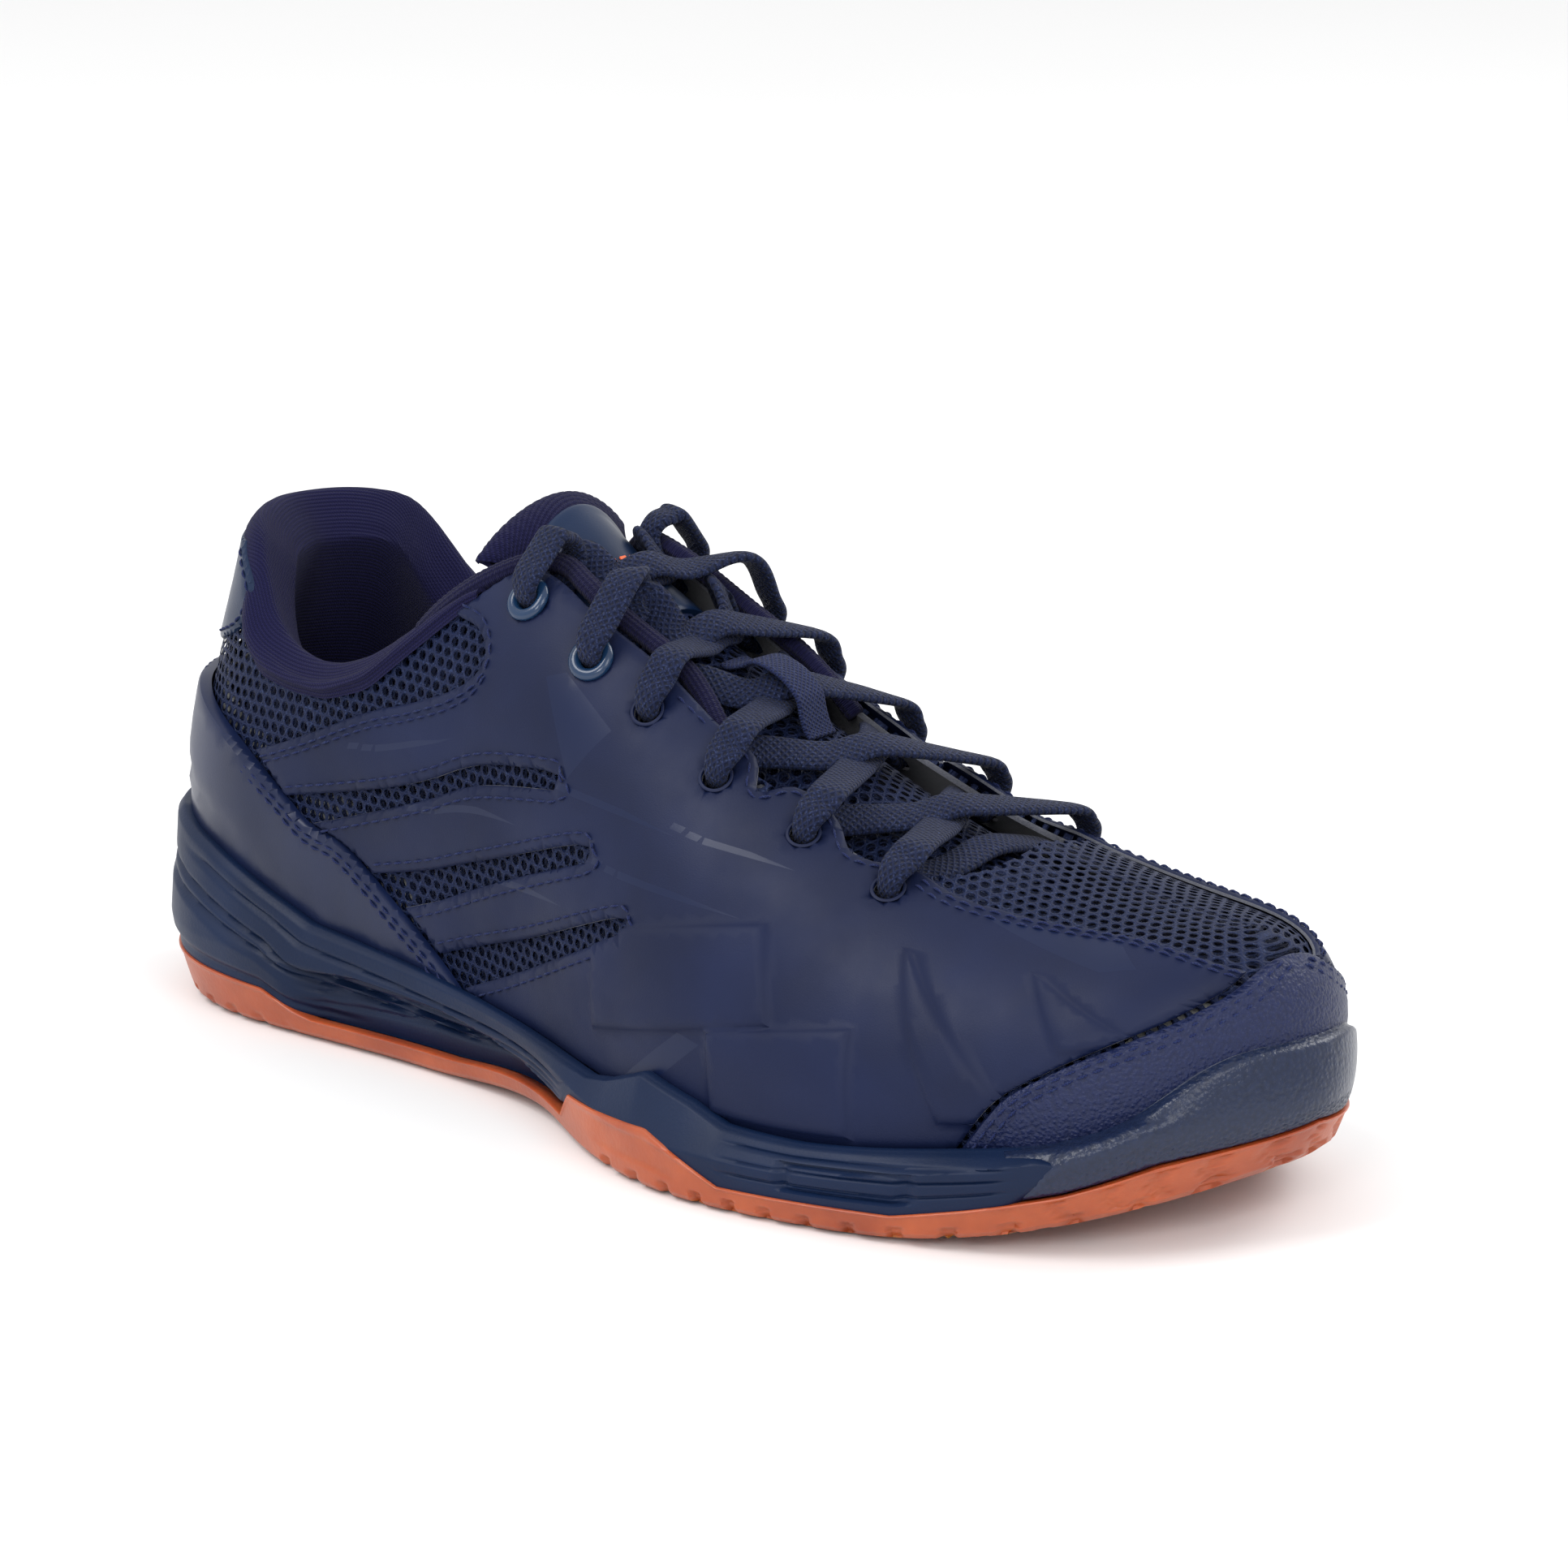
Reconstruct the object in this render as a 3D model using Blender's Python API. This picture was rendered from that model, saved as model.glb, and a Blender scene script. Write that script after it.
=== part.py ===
"""Right-foot indoor court shoe: sole unit, layered upper, tongue, lacing, strobel board and insole.

The shoe is drawn in millimetres with the heel at x = 0 and the toe near x = 284, lateral side at -y.
The upper is one lofted surface, and each of its layers is a region of that surface at its own depth.
A place on it is (a, h): a runs round the shoe from the heel (0) to the toe (-1 along the lateral side,
+1 along the medial side), and h runs from the feather line (0) up to the ridge of the instep (1).
"""

import math

import bpy
import numpy as np
from mathutils import Vector, geometry, kdtree

MM = 0.001
ORIGIN = np.array([141.47, -4.30, 0.0])  # middle of the footprint, on the ground
GAP = 0.3
SOLE_GAP = 0.5

# depth of each layer, in mm out from the upper's surface
OVERLAY = (0.0, 1.2)
TOE_CAP = (0.15, 1.5)
COUNTER = (0.0, 2.0)
MESH = (-1.85, -0.75)
BACKING = (-3.4, -2.75)
STIFFENER = (-3.3, -2.45)
LINING = (-4.8, -3.95)

OUTSOLE_FLOOR = 3.5
OUTSOLE_WALL = 2.6
SHANK = 1.6
FOOTBED_DROP = 0.5
CUP_INNER = 3.1  # inner face of the midsole's wall, out from the upper's surface
CUP_OUTER = 4.6
BOARD = (0.0, 1.2)
INSOLE = (1.5, 5.5)
EYELET_HOLE = 3.5
LACE_WIDTH, LACE_NARROW, LACE_THICK = 4.8, 2.6, 1.3
PANEL_STEP = 10.0

# (a, x, y): the edge of the tread, and the widest line of the sole with its height
GROUND_ROWS = [
    (-0.96, 271, -17), (-0.92, 261, -31), (-0.87, 245, -44), (-0.8, 222, -53), (-0.7, 194, -59),
    (-0.62, 171, -58), (-0.56, 152, -51), (-0.5, 136, -43), (-0.4, 109, -37), (-0.3, 80, -36),
    (-0.2, 50, -37), (-0.1, 23, -30), (-0.045, 11, -16), (0, 6, 0), (0.045, 11, 16), (0.1, 23, 30),
    (0.2, 50, 36), (0.3, 80, 34), (0.4, 109, 32), (0.5, 136, 35), (0.6, 165, 42), (0.7, 193, 48),
    (0.8, 222, 49), (0.88, 246, 41), (0.95, 268, 26), (1.0, 278, 4),
]
WIDE_ROWS = [
    (-0.96, 276, -18, 28), (-0.92, 265, -34, 22), (-0.87, 248, -46, 17), (-0.8, 223, -55, 12),
    (-0.7, 194, -60, 10), (-0.62, 171, -59, 10), (-0.56, 152, -53, 12), (-0.5, 136, -46, 14),
    (-0.4, 109, -39.5, 16), (-0.3, 80, -39, 16), (-0.2, 48, -40, 16), (-0.1, 19, -32, 16),
    (-0.045, 6, -18, 17), (0, 0, 0, 18), (0.045, 6, 18, 17), (0.1, 19, 32, 16), (0.2, 48, 39, 16),
    (0.3, 80, 37, 16), (0.4, 109, 35, 16), (0.5, 136, 38, 14), (0.6, 165, 44, 12),
    (0.7, 193, 50, 11), (0.8, 222, 51, 13), (0.88, 248, 43, 17), (0.95, 272, 28, 25), (1.0, 284, 4, 30),
]
# (a, feather x y z, ridge x y z, wall, roof, drop, bulge): each section is a cubic Bezier that leaves the
# feather line straight up for the wall's share of the height, and reaches the ridge flat over the roof's
# share of the half width; drop tips its end downwards, and bulge pushes the side out in mm
UPPER_ROWS = [
    (-0.95, 265, -22, 21, 258, 7, 54, 0.70, 0.66, 0.0, 3), (-0.88, 245, -37, 18, 243, 6, 55.5, 0.62, 0.60, 0.0, 3),
    (-0.8, 221, -47, 15, 221, 5, 60, 0.58, 0.58, 0.0, 2), (-0.7, 193, -51, 13, 193, 4, 69, 0.60, 0.58, 0.0, 1),
    (-0.6, 165, -49, 13, 165, 2, 82, 0.64, 0.62, 0.0, 0), (-0.5, 137, -41, 15, 138, 0, 97, 0.70, 0.68, 0.02, 1),
    (-0.42, 115, -36, 17, 116, -1, 107, 0.74, 0.72, 0.05, 2), (-0.36, 99, -34, 18.5, 100, -8, 112, 0.6, 0.75, 0.15, 3),
    (-0.3, 81, -33, 20, 82, -20, 112, 0.5, 0.6, 0.3, 3), (-0.2, 52, -32, 22, 57, -27, 106, 0.4, 0.3, 0.35, 3),
    (-0.11, 26, -27, 23, 36, -24, 102, 0.4, 0.3, 0.35, 3), (-0.045, 12.5, -15, 24, 25, -12, 101, 0.4, 0.3, 0.35, 3),
    (0, 8, 0, 24, 21, 0, 101, 0.4, 0.3, 0.35, 3),
    (0.045, 12.5, 15, 24, 25, 12, 101, 0.4, 0.3, 0.35, 3), (0.11, 26, 27, 23, 36, 24, 102, 0.4, 0.3, 0.35, 3),
    (0.2, 52, 32, 22, 57, 27, 106, 0.4, 0.3, 0.35, 3), (0.3, 81, 31, 20, 82, 20, 112, 0.5, 0.6, 0.3, 3),
    (0.36, 99, 30, 18.5, 100, 8, 112, 0.6, 0.75, 0.15, 3), (0.42, 115, 30, 17, 116, -1, 107, 0.70, 0.72, 0.05, 2),
    (0.5, 137, 33, 15, 138, 0, 97, 0.60, 0.66, 0.02, 1), (0.6, 165, 39, 13, 165, 2, 82, 0.50, 0.58, 0.0, 0),
    (0.7, 193, 44, 13, 193, 4, 69, 0.46, 0.54, 0.0, 1), (0.8, 221, 45, 15, 221, 5, 60, 0.50, 0.56, 0.0, 2),
    (0.88, 245, 40, 18, 243, 6, 55.5, 0.58, 0.60, 0.0, 3), (0.95, 267, 27, 21, 258, 7, 54, 0.66, 0.66, 0.0, 3),
    (1.0, 276, 5, 23, 262, 7, 53.5, 0.70, 0.66, 0.0, 3),
]

# lines drawn on the upper, the same on both sides: (distance from the heel |a|, height h)
CUP_TOP = [(0, 0.18), (0.08, 0.18), (0.137, 0.138), (0.195, 0.069), (0.24, 0.025), (0.56, 0.02),
           (0.62, 0.075), (0.665, 0.05), (0.695, 0.022), (1, 0.02)]
COLLAR_TOP = [(0, 0.96), (0.05, 0.96), (0.09, 0.94), (0.12, 0.88), (0.145, 0.78), (0.17, 0.68), (0.2, 0.62),
              (0.24, 0.595), (0.28, 0.625), (0.31, 0.69), (0.34, 0.75), (0.36, 0.79)]
KNIT_EDGE = [(0, 0.70), (0.13, 0.71), (0.145, 0.68), (0.165, 0.605), (0.203, 0.569), (0.242, 0.556),
             (0.282, 0.581), (0.315, 0.655), (0.343, 0.713), (0.36, 0.745)]
THROAT = [(0.36, 0.775), (0.395, 0.805), (0.42, 0.812), (0.47, 0.782), (0.53, 0.775), (0.575, 0.745), (0.62, 0.72),
          (0.66, 0.715), (0.70, 0.69), (0.74, 0.68), (0.77, 0.69)]
MESH_TOP = [(0, 0.91), (0.09, 0.88), (0.12, 0.82), (0.145, 0.73), (0.17, 0.64), (0.2, 0.585), (0.24, 0.562),
            (0.28, 0.59), (0.31, 0.655), (0.34, 0.715), (0.36, 0.75), (0.395, 0.785), (0.42, 0.79)]
COUNTER_TOP = [(0, 0.53), (0.08, 0.52), (0.147, 0.438), (0.208, 0.312), (0.235, 0.256), (0.267, 0.231),
               (0.297, 0.175), (0.323, 0.119), (0.382, 0.0)]
OUTSOLE_TOP = [(0, 10), (0.1, 9.5), (0.2, 9), (0.235, 5), (0.53, 5), (0.56, 11), (0.635, 11.4), (0.665, 9),
               (0.70, 4.6), (0.82, 5.5), (0.86, 8.5), (0.9, 12), (0.94, 17), (1, 21)]
EYELETS = [(0.415, 0.75), (0.483, 0.713), (0.5375, 0.688), (0.605, 0.65), (0.6775, 0.638), (0.75, 0.606)]
RINGED = 2  # the first rows have a moulded ring, the others are punched holes

# tongue: (x, height of its middle, y of its middle, half width, how far the edges hang below the middle)
TONGUE_ROWS = [(97, 111.5, -1, 22.5, 9), (101, 110.3, -1, 18, 11), (106, 107, -1.5, 16.5, 17.5), (112, 103.4, -2, 18.5, 21.5),
               (117, 100, -2.5, 20, 23), (133, 91.5, -2.5, 21, 20), (160, 76.8, -1, 21, 14), (188, 64, 0, 20, 9),
               (206, 57.5, 0.5, 18, 6), (222, 52.5, 1, 16, 4)]
TONGUE_SEAM = 132.0
TONGUE_HINGE_DEPTH = 12.0
TONGUE_NOTCH = 3.0  # how far the tilting part is cut back at its sides
PATCH_START = 112.0
INSOLE_HINGE_X = 264.0

materials = {}


def spline_through(knots, values, period):
    """Closed cubic spline with continuous curvature."""
    knots, values = np.asarray(knots, float), np.asarray(values, float)
    count = len(knots)
    gap = np.diff(np.append(knots, knots[0] + period))
    system, right = np.zeros((count, count)), np.zeros(count)
    for i in range(count):
        before, after = (i - 1) % count, (i + 1) % count
        system[i, before] += gap[before]
        system[i, i] += 2 * (gap[before] + gap[i])
        system[i, after] += gap[i]
        right[i] = 6 * ((values[after] - values[i]) / gap[i] - (values[i] - values[before]) / gap[before])
    bend = np.linalg.solve(system, right)

    def value(at):
        at = (np.asarray(at, float) - knots[0]) % period + knots[0]
        i = np.clip(np.searchsorted(knots, at, side="right") - 1, 0, count - 1)
        after = (i + 1) % count
        t1 = at - knots[i]
        t0 = gap[i] - t1
        return (
            (bend[i] * t0**3 + bend[after] * t1**3) / (6 * gap[i])
            + (values[i] / gap[i] - bend[i] * gap[i] / 6) * t0
            + (values[after] / gap[i] - bend[after] * gap[i] / 6) * t1
        )

    return value


def ring(rows):
    """A function of a that gives every column of a table of stations round the shoe."""
    rows = sorted(rows)
    columns = [spline_through([r[0] for r in rows], [r[i] for r in rows], 2) for i in range(1, len(rows[0]))]
    return lambda a: np.stack([column(a) for column in columns], -1)


ground_ring, wide_ring, upper_ring = ring(GROUND_ROWS), ring(WIDE_ROWS), ring(UPPER_ROWS)


def table(rows, at):
    return np.interp(np.abs(at), [r[0] for r in rows], [r[1] for r in rows])


def unit(v):
    return v / (np.linalg.norm(v, axis=-1, keepdims=True) + 1e-12)


def outward(a):
    """Level direction that leads away from the foot at the feather line."""
    step = upper_ring(a + 0.001) - upper_ring(a - 0.001)
    return unit(np.stack([-step[..., 1], step[..., 0], 0 * step[..., 0]], -1))


def section(a, t):
    row = upper_ring(a)
    foot, top = row[..., :3], row[..., 3:6]
    shared = np.clip((np.abs((a + 1) % 2 - 1)[..., None] - 0.36) / 0.06, 0, 1) / 2
    top = top * (1 - shared) + upper_ring(-a)[..., 3:6] * shared
    wall, roof, drop, bulge = (row[..., i : i + 1] for i in range(6, 10))
    height = top[..., 2:] - foot[..., 2:]
    up = np.array([0, 0, 1.0])
    away = outward(a)
    low = foot + up * wall * height + away * bulge * 1.5
    high = top + (foot - top) * [1, 1, 0] * roof - up * drop * height + away * bulge * 0.5
    t = t[..., None]
    return (1 - t) ** 3 * foot + 3 * (1 - t) ** 2 * t * low + 3 * (1 - t) * t**2 * high + t**3 * top


SECTION_STEPS = np.linspace(0, 1, 41)


def surface(a, h):
    """Points of the upper's surface. Above h = 1 the surface carries on down the other side."""
    a, h = np.broadcast_arrays(np.asarray(a, float), np.asarray(h, float))
    a, h = np.where(h > 1, -a, a), np.where(h > 1, 2 - h, h)
    shape = a.shape
    a, h = a.ravel(), h.ravel()
    lines = section(np.repeat(a[:, None], len(SECTION_STEPS), 1), np.tile(SECTION_STEPS, (len(a), 1)))
    runs = np.cumsum(np.linalg.norm(np.diff(lines, axis=1), axis=-1), axis=1)
    runs = np.concatenate([np.zeros((len(a), 1)), runs], 1) / runs[:, -1:]
    t = np.array([np.interp(where, run, SECTION_STEPS) for where, run in zip(h, runs)])
    return section(a, t).reshape(shape + (3,))


def normal(a, h):
    """Outward unit normals of the upper's surface."""
    a, h = np.broadcast_arrays(np.asarray(a, float), np.asarray(h, float))
    small = 0.004
    low = np.clip(h, small, 2 - small) - small
    along = surface(a + small, h) - surface(a - small, h)
    up = surface(a, low + 2 * small) - surface(a, low)
    return unit(np.cross(up, along))


def skin(a, h, depth):
    depth = np.broadcast_to(np.asarray(depth, float), np.broadcast_shapes(np.shape(a), np.shape(h)))
    return surface(a, h) + normal(a, h) * depth[..., None]


def bottom(x):
    """Height of the tread: toe spring, a lifted heel edge and a slight arch."""
    toe = 13 * (np.clip(x - 215, 0, None) / 63) ** 2
    heel = 5 * (np.clip(25 - x, 0, None) / 19) ** 2
    arch = 1.6 * np.sin(np.pi * np.clip((x - 95) / 60, 0, 1)) ** 2
    return toe + heel + arch


def side(a, z, inset=0.0):
    """Point on the sole's outer wall at a height, moved inwards by inset."""
    ground = ground_ring(a)
    wide = wide_ring(a)
    top = surface(a, table(CUP_TOP, a)) + outward(a) * CUP_OUTER
    heights = [bottom(ground[0]), wide[2], max(top[2], wide[2] + 0.5)]
    x = np.interp(z, heights, [ground[0], wide[0], top[0]])
    y = np.interp(z, heights, [ground[1], wide[1], top[1]])
    return np.array([x, y, z]) - outward(a) * inset


def spine(a, z):
    """Point on the sole's middle line, the same for both sides, where the two halves meet."""
    left, right = upper_ring(-abs(a)), upper_ring(abs(a))
    x = np.clip((left[0] + right[0]) / 2, 30, 250)
    return np.array([x, float((left[1] + right[1]) / 2) * (30 < x < 250), z])


def footbed(a):
    return upper_ring(a)[2] - FOOTBED_DROP


def material(name, colour, roughness, metallic=0.0):
    if name not in materials:
        made = bpy.data.materials.new(name)
        made.use_nodes = True
        shader = made.node_tree.nodes["Principled BSDF"]
        shader.inputs["Base Color"].default_value = (*colour, 1)
        shader.inputs["Roughness"].default_value = roughness
        shader.inputs["Metallic"].default_value = metallic
        made.diffuse_color = (*colour, 1)
        materials[name] = made
    return materials[name]


NAVY_EVA = ("navy_eva", (0.014, 0.022, 0.056), 0.55)
NAVY_PU = ("navy_pu", (0.012, 0.020, 0.056), 0.38)
NAVY_MESH = ("navy_mesh", (0.014, 0.022, 0.075), 0.75)
GLOSS_NAVY = ("gloss_navy", (0.016, 0.026, 0.066), 0.2)
KNIT = ("indigo_knit", (0.016, 0.016, 0.052), 0.9)
GUM = ("orange_gum", (0.55, 0.11, 0.035), 0.35)
FOAM = ("grey_foam", (0.35, 0.36, 0.4), 0.9)
BOARD_WHITE = ("board", (0.6, 0.6, 0.58), 0.9)
STIFF = ("stiffener", (0.5, 0.5, 0.48), 0.7)
FELT = ("grey_felt", (0.2, 0.21, 0.26), 0.95)
RING_BLUE = ("ring_blue", (0.02, 0.05, 0.11), 0.15)
WEBBING = ("navy_webbing", (0.012, 0.02, 0.07), 0.6)
LACE_BLUE = ("lace_navy", (0.010, 0.014, 0.042), 0.8)


def make(name, look, points, faces):
    """Mesh object from points in mm, welded, with its faces turned outwards."""
    points = np.asarray(points, float)
    order, index, faces_kept = {}, [], []
    for point in np.round(points, 3):
        index.append(order.setdefault(tuple(point + 0.0), len(order)))
    kept = np.array(list(order))
    for face in faces:
        loop = [index[i] for i in face]
        loop = [v for i, v in enumerate(loop) if v != loop[i - 1]]
        if len(set(loop)) >= 3:
            faces_kept.append(loop)
    volume = 0.0
    for loop in faces_kept:
        for i in range(1, len(loop) - 1):
            volume += np.dot(kept[loop[0]], np.cross(kept[loop[i]], kept[loop[i + 1]]))
    if volume < 0:
        faces_kept = [loop[::-1] for loop in faces_kept]
    mesh = bpy.data.meshes.new(name)
    mesh.from_pydata(((kept - ORIGIN) * MM).tolist(), [], faces_kept)
    mesh.shade_smooth()
    mesh.set_sharp_from_angle(angle=math.radians(35))
    mesh.materials.append(material(*look))
    made = bpy.data.objects.new(name, mesh)
    bpy.context.scene.collection.objects.link(made)
    return made


def solid(name, look, outer, inner, faces):
    """Closed solid between two matching sheets of points: both sheets, and a wall round every open edge."""
    outer, inner = np.array(outer, float), np.array(inner, float)
    tree = kdtree.KDTree(len(outer))
    for i, point in enumerate(outer):
        tree.insert(point, i)
    tree.balance()
    index = [min(found[1] for found in tree.find_range(point, 0.004)) for point in outer]
    outer, inner = outer[index], inner[index]
    uses = {}
    for face in faces:
        loop = [index[i] for i in face]
        for i, v in enumerate(loop):
            if v != loop[i - 1]:
                uses.setdefault(frozenset((v, loop[i - 1])), []).append((face[i - 1], face[i]))
    count = len(outer)
    walls = [(i, i + count, j + count, j) for found in uses.values() if len(found) == 1 for i, j in found]
    back = [tuple(i + count for i in face[::-1]) for face in faces]
    return make(name, look, np.concatenate([outer, inner]), [*map(tuple, faces), *back, *walls])


def grid_faces(rows, columns, closed):
    """Quads of a grid of points, row by row; closed joins its last row to its first."""
    faces = []
    for i in range(rows if closed else rows - 1):
        j = (i + 1) % rows
        for k in range(columns - 1):
            faces.append((i * columns + k, j * columns + k, j * columns + k + 1, i * columns + k + 1))
    return faces


def shell(name, look, outer, inner, closed=False):
    """Solid between two grids of points, which have the same number of rows and columns."""
    outer, inner = np.asarray(outer, float), np.asarray(inner, float)
    rows, columns = outer.shape[:2]
    return solid(name, look, outer.reshape(-1, 3), inner.reshape(-1, 3), grid_faces(rows, columns, closed))


# ---- panels: regions of the upper with any outline ----

CHART = np.array([300.0, 92.0])  # about one millimetre to each unit, for even triangles
ROUNDING = 0.6  # how much closer the triangles lie at the heel and the toe, where the surface turns fastest
WARP_A = np.linspace(-2.5, 1.5, 1601)
WARP_X = WARP_A + ROUNDING * np.sin(2 * np.pi * WARP_A) / (2 * np.pi)


def to_chart(points):
    points = np.asarray(points, float)
    return np.stack([np.interp(points[:, 0], WARP_A, WARP_X), points[:, 1]], -1) * CHART


def from_chart(points):
    points = np.asarray(points, float) / CHART
    return np.stack([np.interp(points[:, 0], WARP_X, WARP_A), points[:, 1]], -1)


def smooth(points, step=0.028):
    """Points along a curve that passes through the given ones (Catmull-Rom)."""
    points = np.asarray(points, float)
    ends = np.concatenate([[2 * points[0] - points[1]], points, [2 * points[-1] - points[-2]]])
    line = [points[0]]
    for i in range(1, len(ends) - 2):
        p0, p1, p2, p3 = ends[i - 1 : i + 3]
        count = max(1, math.ceil(np.linalg.norm((p2 - p1) * CHART) / (step * CHART[0])))
        for k in range(1, count + 1):
            t = k / count
            bend = (2 * p0 - 5 * p1 + 4 * p2 - p3) * t**2 + (3 * p1 - p0 - 3 * p2 + p3) * t**3
            line.append(0.5 * (2 * p1 + (p2 - p0) * t + bend))
    return line


def outline(*runs):
    """Closed outline from runs of points. Each run is smooth, and corners lie where runs meet."""
    line = []
    for run in runs:
        line += smooth(run) if len(run) > 2 else straight(run)
    kept = [p for i, p in enumerate(line) if np.linalg.norm((p - line[i - 1]) * CHART) > 0.05]
    return np.array(kept)


def straight(run, step=0.028):
    start, end = np.asarray(run, float)
    count = max(1, math.ceil(np.linalg.norm((end - start) * CHART) / (step * CHART[0])))
    return [start + (end - start) * k / count for k in range(count + 1)]


def circle_at(a, h, radius, sides=10):
    """Round hole of the upper, as an outline in a and h."""
    along = (surface(a + 0.005, h) - surface(a - 0.005, h)) / 0.01
    up = (surface(a, h + 0.005) - surface(a, h - 0.005)) / 0.01
    to_surface = np.stack([along, up], -1)
    right = unit(along)
    level = unit(up - right * (up @ right))
    points = []
    for turn in 2 * np.pi * np.arange(sides) / sides:
        reach = radius * (right * math.cos(turn) + level * math.sin(turn))
        points.append(np.array([a, h]) + np.linalg.pinv(to_surface) @ reach)
    return np.array(points)


def inside(points, loops):
    """Whether each point lies inside an odd number of the loops."""
    found = np.zeros(len(points), bool)
    for loop in loops:
        for p, q in zip(loop, np.roll(loop, -1, 0)):
            crosses = (p[1] > points[:, 1]) != (q[1] > points[:, 1])
            rise = np.where(crosses, q[1] - p[1], 1)
            found ^= crosses & (points[:, 0] < (q[0] - p[0]) * (points[:, 1] - p[1]) / rise + p[0])
    return found


def lattice(low, high, step):
    """Staggered rows of points. All panels share them, so layers above one another fit."""
    rows = []
    height = step * math.sqrt(3) / 2
    for j in range(math.floor(low[1] / height), math.ceil(high[1] / height) + 1):
        first = math.floor(low[0] / step)
        for i in range(first, math.ceil(high[0] / step) + 1):
            rows.append(((i + 0.5 * (j % 2)) * step, j * height))
    return np.array(rows)


def distance_to(points, loops):
    nearest = np.full(len(points), 1e9)
    for loop in loops:
        for p, q in zip(loop, np.roll(loop, -1, 0)):
            run = q - p
            t = np.clip(((points - p) @ run) / max(run @ run, 1e-12), 0, 1)
            nearest = np.minimum(nearest, np.linalg.norm(points - p - t[:, None] * run, axis=1))
    return nearest


def triangulate(loops, step):
    """Triangles over the region inside the first loop and outside the others, in chart millimetres."""
    loops = [to_chart(loop) for loop in loops]
    border = np.concatenate(loops)
    fill = lattice(border.min(0), border.max(0), step)
    fill = fill[inside(fill, loops)]
    fill = fill[distance_to(fill, loops) > 0.45 * step]
    points = [Vector(p) for p in np.concatenate([border, fill])]
    edges, start = [], 0
    for loop in loops:
        edges += [(start + i, start + (i + 1) % len(loop)) for i in range(len(loop))]
        start += len(loop)
    found, _, faces, origins, *_ = geometry.delaunay_2d_cdt(points, edges, [], 0, 1e-6)
    given = np.concatenate([border, fill])
    flat = np.array([given[origin[0]] if origin else tuple(p) for p, origin in zip(found, origins)])
    middle = np.array([flat[list(face)].mean(0) for face in faces])
    kept = [tuple(face) for face, ok in zip(faces, inside(middle, loops)) if ok]
    return from_chart(flat), kept


def panel(name, look, loops, depths, step=PANEL_STEP):
    """A layer of the upper between two depths, cut to an outline with holes."""
    flat, faces = triangulate(loops, step)
    a, h = flat[:, 0], flat[:, 1]
    return solid(name, look, skin(a, h, depths[1]), skin(a, h, depths[0]), faces)


def mirrored(loops):
    return [np.asarray(loop)[::-1] * [-1, 1] for loop in loops]


def rows_of(rows, low, high, shift=0.0):
    """The stretch of a line table from |a| = low to high, both ends on the line, moved by shift."""
    inner = [(a, h + shift) for a, h in rows if low + 0.004 < a < high - 0.004]
    return [(low, table(rows, low) + shift), *inner, (high, table(rows, high) + shift)]


def lateral(points):
    return [(-a, h) for a, h in points]


# ---- upper ----


def quarter_outline():
    """Outline of the lateral overlay, with its slits as notches in the edge along the heel counter."""
    seam_front = [(0.846, 0.0), (0.868, 0.138), (0.897, 0.225), (0.925, 0.31), (0.947, 0.40), (0.965, 0.52), (0.976, 0.63)]
    vamp_edge = [(0.976, 0.63), (0.91, 0.70), (0.828, 0.669), (0.79, 0.663), (0.757, 0.686)]
    scallops = [(0.757, 0.686), (0.735, 0.664), (0.71, 0.655), (0.692, 0.70), (0.672, 0.727), (0.65, 0.722),
                (0.634, 0.675), (0.618, 0.733), (0.58, 0.748)]
    eyestay = [(0.58, 0.748), (0.53, 0.776), (0.47, 0.79), (0.43, 0.81), (0.398, 0.808), (0.378, 0.775), (0.352, 0.722)]
    window = [(0.352, 0.722), (0.380, 0.665), (0.391, 0.615), (0.376, 0.578), (0.330, 0.55), (0.287, 0.525), (0.228, 0.463),
              (0.174, 0.406)]
    seam_a = [(0.174, 0.406), (0.209, 0.31)]
    slit_1 = [(0.209, 0.31), (0.328, 0.383), (0.478, 0.488), (0.483, 0.468), (0.328, 0.342), (0.237, 0.258)]
    seam_b = [(0.237, 0.258), (0.267, 0.231), (0.299, 0.182)]
    slit_2 = [(0.299, 0.182), (0.412, 0.271), (0.520, 0.40), (0.526, 0.38), (0.412, 0.223), (0.327, 0.128)]
    seam_c = [(0.327, 0.128), (0.359, 0.058)]
    slit_3 = [(0.359, 0.058), (0.460, 0.167), (0.568, 0.312), (0.574, 0.294), (0.460, 0.108), (0.384, 0.008)]
    base = [(0.384, 0.0), (0.846, 0.0)]
    runs = [base, seam_front, vamp_edge, scallops, eyestay, window, seam_a, slit_1, seam_b, slit_2, seam_c, slit_3,
            [(0.384, 0.008), (0.384, 0.0)]]
    return outline(*[lateral(run) for run in runs])


def eyelet_holes(side_sign, radius):
    return [circle_at(side_sign * a, h, radius) for a, h in EYELETS]


def overlays():
    loops = [quarter_outline(), *eyelet_holes(-1, EYELET_HOLE)]
    panel("overlay_lateral", NAVY_PU, loops, OVERLAY)
    panel("overlay_medial", NAVY_PU, mirrored(loops), OVERLAY)


def quarter_meshes():
    top = [*rows_of(MESH_TOP, 0.003, 0.42), *rows_of(THROAT, 0.43, 0.639, -0.012)]
    loops = [
        outline(
            lateral([(0.639, 0.0), (0.003, 0.0)]),
            lateral([(0.003, 0.0), (0.003, 0.91)]),
            lateral(top),
            lateral([top[-1], (0.639, 0.0)]),
        ),
        *eyelet_holes(-1, EYELET_HOLE)[:4],
    ]
    panel("quarter_mesh_lateral", NAVY_MESH, loops, MESH)
    panel("quarter_mesh_medial", NAVY_MESH, mirrored(loops), MESH)


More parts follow.
